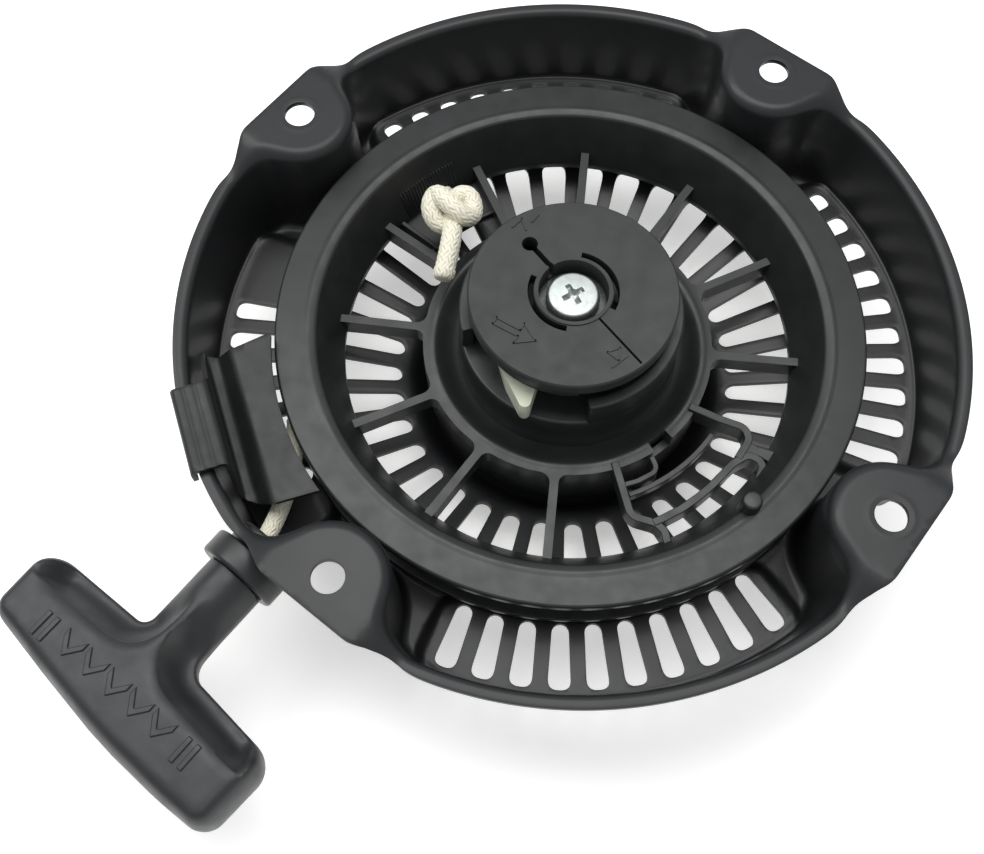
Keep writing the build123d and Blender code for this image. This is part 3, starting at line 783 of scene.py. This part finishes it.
def reel_rim():
    """Grooved rim: flange, tapered wall and lower flange, with the stop pin."""
    shell = Shell()
    profile = rounded(
        [(LIP_IN_R + 0.2, LIP_IN_Z), (66.2, -10.25), (67.4, FLANGE_Z), (FLANGE_R, FLANGE_Z),
         (FLANGE_R, GROOVE_TOP_Z), (LIP_IN_R + 2.2, GROOVE_TOP_Z), (WALL_BOTTOM_R + 2.2, GROOVE_BOTTOM_Z),
         (FLANGE_R - 0.8, GROOVE_BOTTOM_Z - 0.4), (FLANGE_R - 0.8, REEL_BOTTOM_Z),
         (WALL_BOTTOM_R, REEL_BOTTOM_Z), (WALL_BOTTOM_R, GROOVE_BOTTOM_Z)],
        [1.3, 1.5, 1.5, 0.8, 0.4, 1.0, 0.8, 0.4, 0.6, 0.5, 1.2], closed=True, step=15)
    rows = spin(shell, profile, 300)
    shell.strip(rows[-1], rows[0], closed=True)
    rim = shell.piece("reel_rim", REEL, crease=60)

    pin = Shell()
    outline = [(0.01, -6.2), (PIN_RADIUS - 0.1, -6.3), (PIN_RADIUS + 0.05, -13.4)]
    spin(pin, rounded(outline, [0, 0.8, 0], step=15), 40, centre=polar(PIN_R, PIN_ANGLE))
    return rim, pin.piece("reel_pin", REEL, crease=60, closed=False)


def reel_hub():
    """Hub with its platform and tube, skirt below, and two raised walls round the pawls."""
    shell = Shell()
    profile = [(28.9, -25.5), (HUB_R + 0.3, -22), (HUB_R, HUB_Z), (10.0, HUB_Z), (10.0, -9.2), (7.1, -9.2),
               (7.1, -45.5), (9.9, -45.5), (9.9, -14.7), (25.6, -14.7), (25.4, -26.0)]
    rows = spin(shell, rounded(profile, [0, 0, 0.7, 1.0, 0.4, 0.3, 0.3, 0.3, 0.5, 0.8, 0], step=15), 200)
    shell.strip(rows[-1], rows[0], closed=True)
    skirt = rounded([(37.5, -26.3), (37.5, -38), (35.4, -38), (35.4, -26.3)], [0, 0.5, 0.5, 0])
    rows = spin(shell, skirt, 200)
    shell.strip(rows[-1], rows[0], closed=True)
    hub = shell.piece("reel_hub", REEL, crease=60)
    walls = Shell()
    for start, end in HUB_WALLS:
        outline = arc(HUB_R, start, end, 60) + arc(HUB_R - HUB_WALL, end, start, 60)
        plate(walls, outline, HUB_Z - 0.5, HUB_WALL_Z)
    return hub, bevel(walls.piece("reel_walls", REEL, crease=40), 0.5, 3)


def build_reel():
    """All of the moulded reel."""
    place(reel_spider(), "reel", "reel_plastic", "reel")
    for piece in (reel_ribs(), *reel_rim(), *reel_hub()):
        place(piece, "reel", "reel_plastic")


# --- Guard --------------------------------------------------------------------------------------
def profile_at(path, s):
    """Points of a path at distances along it."""
    run = run_along(path)
    return [np.interp(s, run, values) for values in np.array(path, float).T]


def divided(path, spacing, closed=True):
    """Path with points added so that none are further apart than a spacing."""
    dense = []
    for a, b in zip(path, path[1:] + (path[:1] if closed else [])):
        a, b = np.array(a), np.array(b)
        count = max(1, math.ceil(np.hypot(*(b - a)) / spacing))
        dense += [tuple(a + (b - a) * k / count) for k in range(count)]
    return dense if closed else dense + [tuple(path[-1])]


def build_guard():
    """Bent plate with a channel and a fluted hook, cut to shape before it was bent."""
    start = 70.0
    bends = [(start, -9.0), (83.0, -9.0), (86.4, -14.2), (90.3, -14.2), (90.6, -4.2), (92.6, -4.2),
             (93.4, -4.6), (94.2, -4.2), (95.4, -4.2), (96.2, -4.6), (97.0, -4.2), (98.8, -4.2), (98.8, -8.6)]
    path = rounded(bends, [0, 2.2, 2.4, 1.6, 1.5, 1.2, 1.0, 1.2, 1.2, 1.0, 1.2, 1.2, 0], step=12)
    lengths = run_along(bends)
    plate_end, channel, flat_end, hook = lengths[1:5]
    tip = lengths[-1] - 1.5
    upper_end, lower_end = -19.4, 25.2    # as they are in the photo
    outline = []
    for t in np.linspace(lower_end, upper_end, 14):
        radius = FLANGE_R + 0.3 + (t - upper_end) * 0.034
        outline.append((math.sqrt(radius ** 2 - t * t) - start, t))
    outline += [(plate_end - 1, -18.0), (plate_end + 1.5, -18.4), (channel + 0.5, -19.6),
                (flat_end - 0.6, -21.0), (flat_end + 2.5, -20.6), (hook - 3.4, -10.5), (hook, -9.0),
                (tip, -9.0), (tip, 13.6),
                (hook - 0.6, 13.6), (flat_end + 2.0, 17.2), (flat_end - 1.5, 20.0), (channel, 21.6),
                (plate_end, 24.9)]
    radii = [0] * 13 + [0.6, 1, 1, 1, 1.2, 1.2, 2, 1.5, 0.8, 0.8, 2.0, 3.0, 1.6, 2, 1.5]
    loop = divided(rounded(outline, radii, closed=True), 0.7)
    rows = np.array([(s, t) for s in np.arange(1.5, lengths[-1], 0.45) for t in np.arange(-20, 27, 2.0)])
    rows = rows[inside(rows, loop)]
    rows = rows[~near_loop(rows, loop, 0.4)]
    shell = Shell()
    edge = shell.add([(s, t, 0) for s, t in loop])
    inner_points = shell.add([(s, t, 0) for s, t in rows])
    shell.fill([edge], inner_points)
    (ax, ay), (bx, by) = polar(1, GUARD_ANGLE - 90), polar(1, GUARD_ANGLE)
    flat = np.array(shell.points)
    out, z = profile_at(path, flat[:, 0])
    t = flat[:, 1]
    bent = np.column_stack([out * ax + t * bx, out * ay + t * by, z + GUARD_SHEET / 2])
    shell.points = [tuple(p) for p in bent]
    obj = shell.piece("guard_plate", GUARD, crease=60, closed=False)
    sheet_metal(obj, GUARD_SHEET, 0, 0.22)
    place(obj, "case", "guard_paint", "rope_guard")


# --- Handle -------------------------------------------------------------------------------------
PULL = polar(1, PULL_ANGLE)
PULL_SIDE = polar(1, PULL_ANGLE + 90)
GRIP_TOP = 10.0
STEM_HALF = 7.7
STEM_END = 101.65
NECKS = ((124.1, 0.0888), (122.9, 0.0202))    # where the bar starts on each side of the stem, and its slant
EVEN_HALF = 27.0    # how far along the bar its cross-section stays the same
RIDGE = 6.9    # how far the coves reach in from the edge


def from_pull(points):
    """Points given along, across and above the pull line, in the main frame."""
    return [(u * PULL[0] + (w + PULL_OFFSET) * PULL_SIDE[0], u * PULL[1] + (w + PULL_OFFSET) * PULL_SIDE[1],
             z + ROPE_Z) for u, w, z in points]


def pull_ring(u, radius, steps):
    """Circle round the pull line at a distance along it."""
    angles = np.linspace(0, 2 * math.pi, steps, endpoint=False)
    return from_pull([(u, radius * math.cos(a), radius * math.sin(a)) for a in angles])


def grip_outline(stem_end):
    """T seen from above: a stem, and a slightly slanted bar with a bowed back and blunt round ends."""
    points = [(stem_end, STEM_HALF), (NECKS[0][0], STEM_HALF), (126.7, 37.0), (147.7, 35.8), (148.3, 22.0),
              (147.9, 4.0), (145.3, -17.0), (142.4, -36.9), (123.5, -37.4), (NECKS[1][0], -STEM_HALF),
              (stem_end, -STEM_HALF)]
    radii = [0.8, 4.5, 6.5, 5.0, 60, 80, 60, 5.0, 6.0, 3.0, 0.8]
    return rounded(points[::-1], radii[::-1], closed=True, step=7)


def build_handle():
    """Grip with coved inner edges, a bowed back and a pocket below for the knot."""
    loop = divided(grip_outline(STEM_END), 1.2)
    buried = STEM_END - 15    # heights are taken from an outline that runs on past the stem's end
    section = np.array(grip_outline(buried))
    line = np.array(loop)
    along = np.roll(line, -1, axis=0) - np.roll(line, 1, axis=0)
    along /= np.hypot(*along.T)[:, None]
    inward = np.column_stack([-along[:, 1], along[:, 0]])
    if not inside(line[:1] + inward[:1] * 0.5, loop)[0]:
        inward = -inward

    closed_line = np.vstack([section, section[:1]])
    back = section[(section[:, 0] > 127.5) | (np.abs(section[:, 1]) > 36)]
    coves = []
    for side, neck, far_u, radius in ((1, NECKS[0][0], 127.4, 4.5), (-1, NECKS[1][0], 123.65, 3.0)):
        corner = [(buried, side * STEM_HALF), (neck, side * STEM_HALF), (far_u, side * 45.0)]
        coves.append(rounded(corner, [0, radius, 0], step=7))

    def depth(points):
        """Distance of each point from the outline."""
        return distance_to(points, closed_line)

    def cove_depth(points):
        """Distance of each point from the nearer of the coved edges."""
        return np.minimum(distance_to(points, coves[0]), distance_to(points, coves[1]))

    def top(points):
        """Height of the upper half: coved towards the stem side, rounded at the back and ends."""
        u, w = points.T
        near, far, edge = cove_depth(points), distance_to(points, back), depth(points)
        c = np.clip((near - 0.7) / (RIDGE - 0.7), 0, 1)
        cove = 1.0 + (GRIP_TOP - 2.0) * (1 - (1 - c ** 1.9) ** 0.74) + 2.2 * np.maximum(near - RIDGE, 0)
        cove = smooth_min(cove, GRIP_TOP - 1.0 + 0.8 * ease((near - RIDGE) / 2.4), 1.0)
        cove = np.where(near < 0.7, 0.35 + 0.65 * np.sqrt(np.clip(near / 0.7, 0, 1)), cove)

        def bow(d):
            return (GRIP_TOP + 0.1) * np.maximum(1 - (1 - np.clip(d / 5.0, 0, 1)) ** 2.4, 0) ** 0.55

        barred = smooth_min(cove, bow(far), 1.6)
        at_end = smooth_min(GRIP_TOP + 0 * u, bow(edge), 1.6)
        share = ease((36.0 - np.abs(w)) / 8.0)
        height = barred * share + at_end * (1 - share) - 1.4 * (w / 37) ** 2 * ease(edge / 4)
        slope = np.clip(edge / STEM_HALF, 0, 1)
        stem = (GRIP_TOP - 0.9) * np.maximum(1 - (1 - slope) ** 2.3, 0) ** 0.8
        stemmed = ease((u - 109) / 13)
        return (height * stemmed + stem * (1 - stemmed)) * (1 - 0.17 * ease((124 - u) / 10))

    def under(points):
        """Depth of the lower half, rounded all the way round."""
        d = depth(points)
        slim = 1 - 0.2 * ease((124 - points[:, 0]) / 10)
        return -(GRIP_TOP + 0.3) * np.sqrt(np.maximum(1 - (1 - np.clip(d / 6.5, 0, 1)) ** 2.4, 0)) * slim

    ringed = []
    for inset in (0.12, 0.35, 0.7, 1.1, 1.6, 2.2, 2.9, 3.6, 4.3, 4.9, 5.4, 5.8, 6.2, 6.55, 6.9, 7.25):
        row = line + inward * inset
        even = (np.abs(row[:, 1]) < EVEN_HALF) | (inset < 3)
        ringed.append(row[inside(row, loop) & (depth(row) > inset - 0.03) & even])
    grid = np.array([(u, w) for u in np.arange(101, 151, 0.9) for w in np.arange(-40, 40, 0.9)])
    grid = grid[inside(grid, loop)]
    ringed.append(grid[(depth(grid) > 7.8) & (np.abs(grid[:, 1]) < EVEN_HALF)])
    ended = grid[np.abs(grid[:, 1]) > EVEN_HALF]
    ringed.append(ended[(cove_depth(ended) > 8.2) & (depth(ended) > 3.1)])
    # at the bar's ends, rows of points that run along the ridge keep it from looking jagged
    band = []
    for side, (neck, slant) in zip((1, -1), NECKS):
        for reach in (3.4, 3.9, 4.4, 4.9, 5.4, 5.8, 6.2, 6.55, 6.9, 7.25, 7.8):
            band += [(neck + slant * (w - STEM_HALF) + reach, side * w) for w in np.arange(27.4, 37, 0.7)]
    band = np.array(band)
    band = band[inside(band, loop)]
    ringed.append(band[depth(band) > 3.1])
    ringed.append(np.array([(u, 0.0) for u in np.arange(102.5, 122, 0.9)]))
    free = np.concatenate(ringed)
    pocket = rounded([(135.5, -7), (135.5, 7), (144.5, 7), (144.5, -7)], [2.0] * 4, closed=True)
    shell = Shell()
    parting = shell.add(from_pull([(u, w, 0) for u, w in loop]))
    upper = shell.add(from_pull(np.column_stack([free, top(free)])))
    shell.fill([parting], upper)
    free = free[~inside(free, pocket)]
    free = free[~near_loop(free, pocket, 0.3)]
    lower = shell.add(from_pull(np.column_stack([free, under(free)])))
    edge = np.array(pocket)
    mouth = shell.add(from_pull(np.column_stack([edge, under(edge)])))
    roof = shell.add(from_pull(np.column_stack([edge, edge[:, 0] * 0 + 6.5])))
    shell.fill([parting, mouth], lower, flip=True)
    shell.strip(mouth, roof, closed=True)
    shell.fill([roof], [])
    obj = shell.piece("grip", GRIP, crease=38)
    place(obj, "handle", "grip_plastic", "handle_grip")
    build_grip_marks(top)


def build_grip_marks(top):
    """Five plain raised chevrons and four bars on the grip's upper face, in place of its word and mark."""
    shell = Shell()
    marks = []
    for k in range(5):
        w = (k - 2) * 7.0
        chevron = [(133.6, w - 3.0), (137.4, w), (133.6, w + 3.0)]
        marks.append(chevron + [(u + 2.1, side) for u, side in chevron[::-1]])
    for w in (-23.9, -21.3, 20.2, 22.8):
        marks.append([(133.9, w), (140.4, w), (140.4, w + 1.3), (133.9, w + 1.3)])
    for mark in marks:
        outline = divided(mark, 0.8)
        plan = np.array(outline)
        height = top(plan)
        low = shell.add(from_pull(np.column_stack([plan, height - 0.5])))
        high = shell.add(from_pull(np.column_stack([plan, height + 0.42])))
        shell.strip(low, high, closed=True)
        shell.fill([high], [])
        shell.fill([low], [])
    obj = bevel(shell.piece("grip_marks", GRIP, crease=60), 0.25, 2)
    place(obj, "handle", "grip_plastic")


# --- Rope ---------------------------------------------------------------------------------------
def nurbs_points(points, step=0.25):
    """Evenly spaced points of the smooth spline through a route, in millimetres."""
    curve = bpy.data.curves.new("route", "CURVE")
    curve.dimensions = "3D"
    spline = curve.splines.new("NURBS")
    spline.points.add(len(points) - 1)
    for knot, point in zip(spline.points, points):
        knot.co = (*[c * MM for c in point], 1)
    spline.order_u = 3
    spline.use_endpoint_u = True
    spline.resolution_u = 24
    obj = bpy.data.objects.new("route", curve)
    bpy.context.scene.collection.objects.link(obj)
    bpy.context.view_layer.update()
    mesh = bpy.data.meshes.new_from_object(obj.evaluated_get(bpy.context.evaluated_depsgraph_get()))
    line = np.array([v.co for v in mesh.vertices]) / MM
    bpy.data.objects.remove(obj)
    run = run_along(line)
    at = np.linspace(0, run[-1], max(8, int(run[-1] / step)))
    return np.column_stack([np.interp(at, run, line[:, k]) for k in range(3)])


def frames(line):
    """Directions across a line that don't twist along it."""
    along = np.gradient(line, axis=0)
    along /= np.linalg.norm(along, axis=1)[:, None]
    side = np.cross(along[0], (0.31, 0.2, 0.93))
    sides = []
    for t in along:
        side = side - t * (side @ t)
        side /= np.linalg.norm(side)
        sides.append(side)
    sides = np.array(sides)
    return sides, np.cross(along, sides)


def braid_height(run, turn):
    """Height of a braid's surface, 0 in a groove to 1 on a strand, from two crossed sets of paired yarns."""
    strands, pitch = 8, 25.0
    lay = run * (2 * math.pi / pitch)
    heights = []
    for hand in (1, -1):
        across = np.mod((turn + hand * lay) * strands / (2 * math.pi), 1) - 0.5
        crown = np.sqrt(np.maximum(1 - (2.05 * across) ** 2, 0))
        heights.append(crown * (1 - 0.3 * np.exp(-(across / 0.07) ** 2)))
    over = np.cos((turn + lay) * strands / 2) * np.cos((turn - lay) * strands / 2)
    lift = 0.38 * np.tanh(3 * over)
    return np.maximum(heights[0] * (0.62 + lift), heights[1] * (0.62 - lift))


def braided(name, line, radius=ROPE_R, relief=0.38, around=80, ends=(True, True), squeeze=None):
    """Tube along a line whose surface is a braid in relief, with its groove depth and lay as attributes."""
    side, up = frames(line)
    run = run_along(line)
    turn = np.linspace(0, 2 * math.pi, around, endpoint=False)
    grid_run, grid_turn = np.meshgrid(run, turn, indexing="ij")
    height = braid_height(grid_run, grid_turn)
    reach = radius - relief * (1 - height)
    if squeeze is not None:
        reach = reach * squeeze(grid_run / run[-1])
    place_of = (line[:, None, :] + side[:, None, :] * (np.cos(grid_turn) * reach)[..., None]
                + up[:, None, :] * (np.sin(grid_turn) * reach)[..., None])
    shell = Shell()
    rows = [shell.add(row) for row in place_of]
    shell.rows(rows, closed=True)
    # the braid's height, stored as the groove attribute, sets the painted shade in the grooves; the cut ends
    # get a middling shade
    groove = list(height.ravel())
    lay = [(r * 1.3, t * 4.0, 0.0) for r, t in zip(grid_run.ravel(), grid_turn.ravel())]
    for row, centre, wanted in ((rows[0], line[0], ends[0]), (rows[-1], line[-1], ends[1])):
        if wanted:
            hub = shell.add([centre])[0]
            groove.append(0.4)
            lay.append((0, 0, 0))
            shell.faces += [(a, b, hub) for a, b in zip(row, row[1:] + row[:1])]
    obj = shell.piece(name, ROPE, crease=80, closed=False)
    face_outwards(obj.data, weld=False)
    add = obj.data.attributes.new
    add("groove", "FLOAT", "POINT").data.foreach_set("value", np.array(groove, np.float32))
    add("lay", "FLOAT_VECTOR", "POINT").data.foreach_set("vector", np.array(lay, np.float32).ravel())
    return obj


KNOT_ROUTE = [(0.6, 4.5, -8.5), (0.4, 2.5, -6.6), (0.9, -1.0, -4.6), (-1.3, -3.5, -3.0), (-4.2, -2.6, -1.5),
              (-5.4, 0.9, 0.1), (-3.9, 4.2, 1.0), (-1.8, 1.5, 2.8), (1.4, -2.1, 2.9), (4.5, -3.4, 0.6),
              (6.4, -0.4, -1.4), (5.4, 4.4, -0.6), (2.4, 4.9, -0.4), (0.4, 2.0, -2.0), (0.6, -2.4, -2.0),
              (0.7, -7.5, -0.2), (0.0, -13.3, 0.3), (-0.9, -18.0, 0.0), (-1.5, -21.4, -0.6)]


def build_rope():
    """Every stretch of the rope."""
    knot = nurbs_points([tuple(a + b for a, b in zip(point, KNOT_AT)) for point in KNOT_ROUTE])

    def fused(share):
        """The cut end is melted a little wider, and shrinks at its tip."""
        swell = 0.1 * np.exp(-((share - 0.972) / 0.012) ** 2)
        return 1 + swell - 0.25 * np.clip((share - 0.985) / 0.015, 0, 1) ** 2

    place(braided("knot_on_reel", knot, radius=2.75, relief=0.36, squeeze=fused), "reel", "rope", "reel_knot")

    feed = nurbs_points([(-30.6, 38.0, -21.0), (-32.2, 43.0, -24.0), (-33.0, 48.6, -24.4)])
    place(braided("rope_feed_braid", feed), "reel", "rope", "rope_feed")

    turns = ((67.6, -15.6), (67.9, -20.0), (64.5, -21.9))
    rings = [braided_ring(f"winding_{k}", radius, z) for k, (radius, z) in enumerate(turns, 1)]
    place(rings[0], "reel", "rope", "rope_windings")
    for ring in rings[1:]:
        place(ring, "reel", "rope")

    start = (-68.5, -25.2, ROPE_Z)
    end = from_pull([(BUSH_END, 0, 0)])[0]
    slope = PULL[1] / PULL[0]
    corner = (start[0] + 2.3, end[1] - slope * (end[0] - start[0] - 2.3), ROPE_Z)
    place(braided("rope_lead_braid", nurbs_points([start, corner, end])), "case", "rope", "rope_lead")

    tail = np.array(from_pull([(u, 0, 0) for u in np.arange(101.8, 137.0, 0.3)]))
    place(braided("rope_in_grip", tail, around=48), "handle", "rope", "handle_rope")
    wraps = [(141.4, 0, 0), (143, 2.5, 1), (142, 3.0, 3.2), (139.5, -0.5, 3.6), (140, -3.2, 0.5),
             (143, -2.6, -3), (143.5, 1.5, -3.4), (140, 3.2, -1.5), (139.6, 0, 0.5), (141, -1, -4.4)]
    outer_knot = nurbs_points(from_pull(wraps), 0.35)
    place(braided("knot_in_grip", outer_knot, radius=2.1, around=40), "handle", "rope", "handle_knot")


def braided_ring(name, radius, z):
    """One turn of rope in the groove."""
    steps = 700
    line = np.array([(*polar(radius, 360 * k / steps), z) for k in range(steps + 1)])
    return braided(name, line, around=28, relief=0.3, ends=(False, False))


def build_pulled_rope():
    """Short straight stretch of rope along the pull line, from just inside the bush to just inside the grip.
    """
    first, last = 99.5, 104.5
    shell = Shell()
    rows = [shell.add(pull_ring(u, ROPE_R - 0.12, 24)) for u in np.linspace(first, last, 41)]
    shell.rows(rows, closed=True)
    shell.faces += [tuple(rows[0]), tuple(rows[-1])]
    paint = Paint("rope_pulled", (0.8, 0.75, 0.58), 0.55, specular=0.4)
    wave = paint.noise(1.1, 3)
    paint.colour(paint.mix(paint.ramp(wave, 0.4, 0.62, 0.0, 1.0), (0.84, 0.8, 0.64), (0.45, 0.39, 0.24)))
    paint.bump(wave, 0.25)
    obj = shell.piece("rope_run", paint.material, crease=60)
    start, end = [[c * MM for c in point] for point in from_pull([(first, 0, 0), (last, 0, 0)])]
    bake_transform(obj)
    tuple(start)
    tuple(end)


# --- Bush, screw and disc marks -------------------------------------------------------------------
def build_bush():
    """Collar that the rope runs through, turned about the pull line."""
    profile = rounded([(90.0, 3.2), (90.0, 7.7), (95.2, 7.7), (95.2, 10.3), (BUSH_END, 10.3), (BUSH_END, 2.9),
                       (97.0, 2.9)], [0.5, 1.0, 0.6, 0.7, 0.9, 1.0, 0.8], closed=True, step=15)
    shell = Shell()
    rows = [shell.add(pull_ring(u, radius, 96)) for u, radius in profile]
    shell.rows(rows + rows[:1], closed=True)
    place(shell.piece("bush", BUSH, crease=50), "case", "bush_plastic", "rope_bush")


def build_screw():
    """Domed screw head with a cross recess."""
    radius, top_z, low_z = 6.6, 2.7, -1.2

    def top(x, y):
        r = np.hypot(x, y)
        dome = top_z - 0.009 * r ** 2 - 1.2 * np.clip((r - 5.5) / (radius - 5.5), 0, 1) ** 3
        c, s = math.cos(0.5), math.sin(0.5)
        a, b = np.abs(x * c + y * s), np.abs(y * c - x * s)
        narrow, wide = np.minimum(a, b), np.maximum(a, b)
        arm = ease((0.72 - narrow) / 0.3) * ease((3.0 - wide) / 0.6)
        hub = ease((1.3 - r) / 0.5)
        return dome - (1.0 + 1.2 * ease((2.6 - r) / 2.2)) * np.maximum(arm, hub)

    rings = []
    for r in np.arange(0.1, radius - 0.05, 0.1):
        rings += turned(circle(r, max(8, int(r * 56))), r * 31)
    shell = Shell()
    slab(shell, circle(radius, 120), [], rings, top, lambda x, y: x * 0 + low_z)
    head = shell.piece("screw_head", ZINC, crease=60)
    place(head, "case", "zinc_plate", "centre_screw")


def build_guide_marks():
    """Plain raised arrow, triangle, chevron and two bars on the disc, in place of its letters."""
    z_low, z_high = 3.6, 4.08
    shell = Shell()
    marks = [
        ([(-19.5, -9.0), (-13.6, -12.4), (-14.6, -14.2), (-9.4, -13.6), (-12.0, -9.0), (-13.0, -10.8),
          (-18.6, -7.4), (-19.5, -9.0)], 0.42),
        ([(7.6, -16.6), (10.6, -15.4), (10.2, -18.8), (7.6, -16.6)], 0.36),
        ([(8.6, -20.6), (12.2, -17.6)], 0.4),
        ([(-14.8, 18.2), (-12.4, 20.6), (-11.4, 17.4)], 0.4),
        ([(-9.9, 19.8), (-8.3, 21.8)], 0.4),
    ]
    for route, width in marks:
        for a, b in zip(route, route[1:]):
            a, b = Vector(a), Vector(b)
            reach = (b - a).normalized() * width / 2
            plate(shell, ribbon([a - reach, (a + b) / 2, b + reach], width), z_low, z_high)
    obj = bevel(shell.piece("guide_marks", DISC, crease=60), 0.1, 1)
    place(obj, "guide", "guide_plastic")


build_case()
build_reel()
build_guard()
build_handle()
build_rope()
build_pulled_rope()
build_bush()
build_screw()
build_guide_marks()


# --- Camera, floor and light ---------------------------------------------------------------------
def build_camera():
    """Camera in front of the part and above it, looking down at about 66 degrees."""
    camera = bpy.data.cameras.new("camera")
    camera.lens = CAMERA_LENS
    camera.clip_start = 0.005
    obj = bpy.data.objects.new("camera", camera)
    tilt = Matrix.Rotation(math.radians(CAMERA_TILT), 4, "X")
    roll = Matrix.Rotation(math.radians(CAMERA_ROLL), 4, "Z")
    obj.matrix_world = Matrix.Translation([c * MM for c in CAMERA_AT]) @ tilt @ roll
    bpy.context.scene.collection.objects.link(obj)
    bpy.context.scene.camera = obj


def build_floor():
    """Plain white floor that the dish stands on."""
    shell = Shell()
    half, z = 3000.0, cad_low.z / MM
    corners = [(-half, -half, z), (half, -half, z), (half, half, z), (-half, half, z)]
    shell.faces.append(tuple(shell.add(corners)))
    floor = Paint("floor_white", (0.93, 0.93, 0.915), 0.75, specular=0.1)
    floor.bump(floor.noise(2, 2), 0.02)
    floor.shader.inputs["Emission Color"].default_value = (1, 1, 0.985, 1)
    floor.shader.inputs["Emission Strength"].default_value = 0.4
    obj = shell.piece("floor", floor.material, closed=False)


def area_light(name, at, size, power):
    """Soft box at a place in metres, facing the middle of the part."""
    light = bpy.data.lights.new(name, "AREA")
    light.shape = "RECTANGLE"
    light.size, light.size_y = size
    light.energy = power
    obj = bpy.data.objects.new(name, light)
    obj.location = at
    obj.rotation_euler = (-Vector(at)).to_track_quat("-Z", "Y").to_euler()
    bpy.context.scene.collection.objects.link(obj)


def build_light():
    """White studio: even dome, a big soft box nearly overhead and a weaker one to the left."""
    world = bpy.data.worlds.new("studio")
    world.use_nodes = True
    bpy.context.scene.world = world
    dome = world.node_tree.nodes["Background"]
    dome.inputs["Color"].default_value = (0.96, 0.98, 1.0, 1)
    dome.inputs["Strength"].default_value = 0.6
    area_light("key_box", (0.02, 0.2, 0.9), (0.75, 0.6), 5.4)
    area_light("side_box", (-0.62, 0.28, 0.9), (0.45, 0.45), 3.2)
    bpy.context.scene.view_settings.view_transform = "Standard"


# --- CAD nodes kept as they are -------------------------------------------------------------------
def finish_cad_nodes():
    """Materials for the nodes that no detailed piece stands for, and rounded edges on those that show."""
    materials = {
        TURNED: ("spindle", "spring_anchor", "pawl_pin_a", "pawl_pin_b"),
        WASHER: ("friction_washer", "reel_washer"),
        SPRING: ("friction_spring", "spiral_spring", "pawl_spring_a", "pawl_spring_b"),
        PAWL: ("pawl_a", "pawl_b"),
        DISC: ("ratchet_guide",),
        ZINC: ("handle_insert",),
    }
    for material, nodes in materials.items():
        for node in nodes:
            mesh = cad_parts[node].data
            mesh.materials.clear()
            mesh.materials.append(material)
    for node in ("ratchet_guide", "pawl_a", "pawl_b"):
        bevel(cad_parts[node], 0.22)


build_camera()
build_floor()
build_light()
finish_cad_nodes()
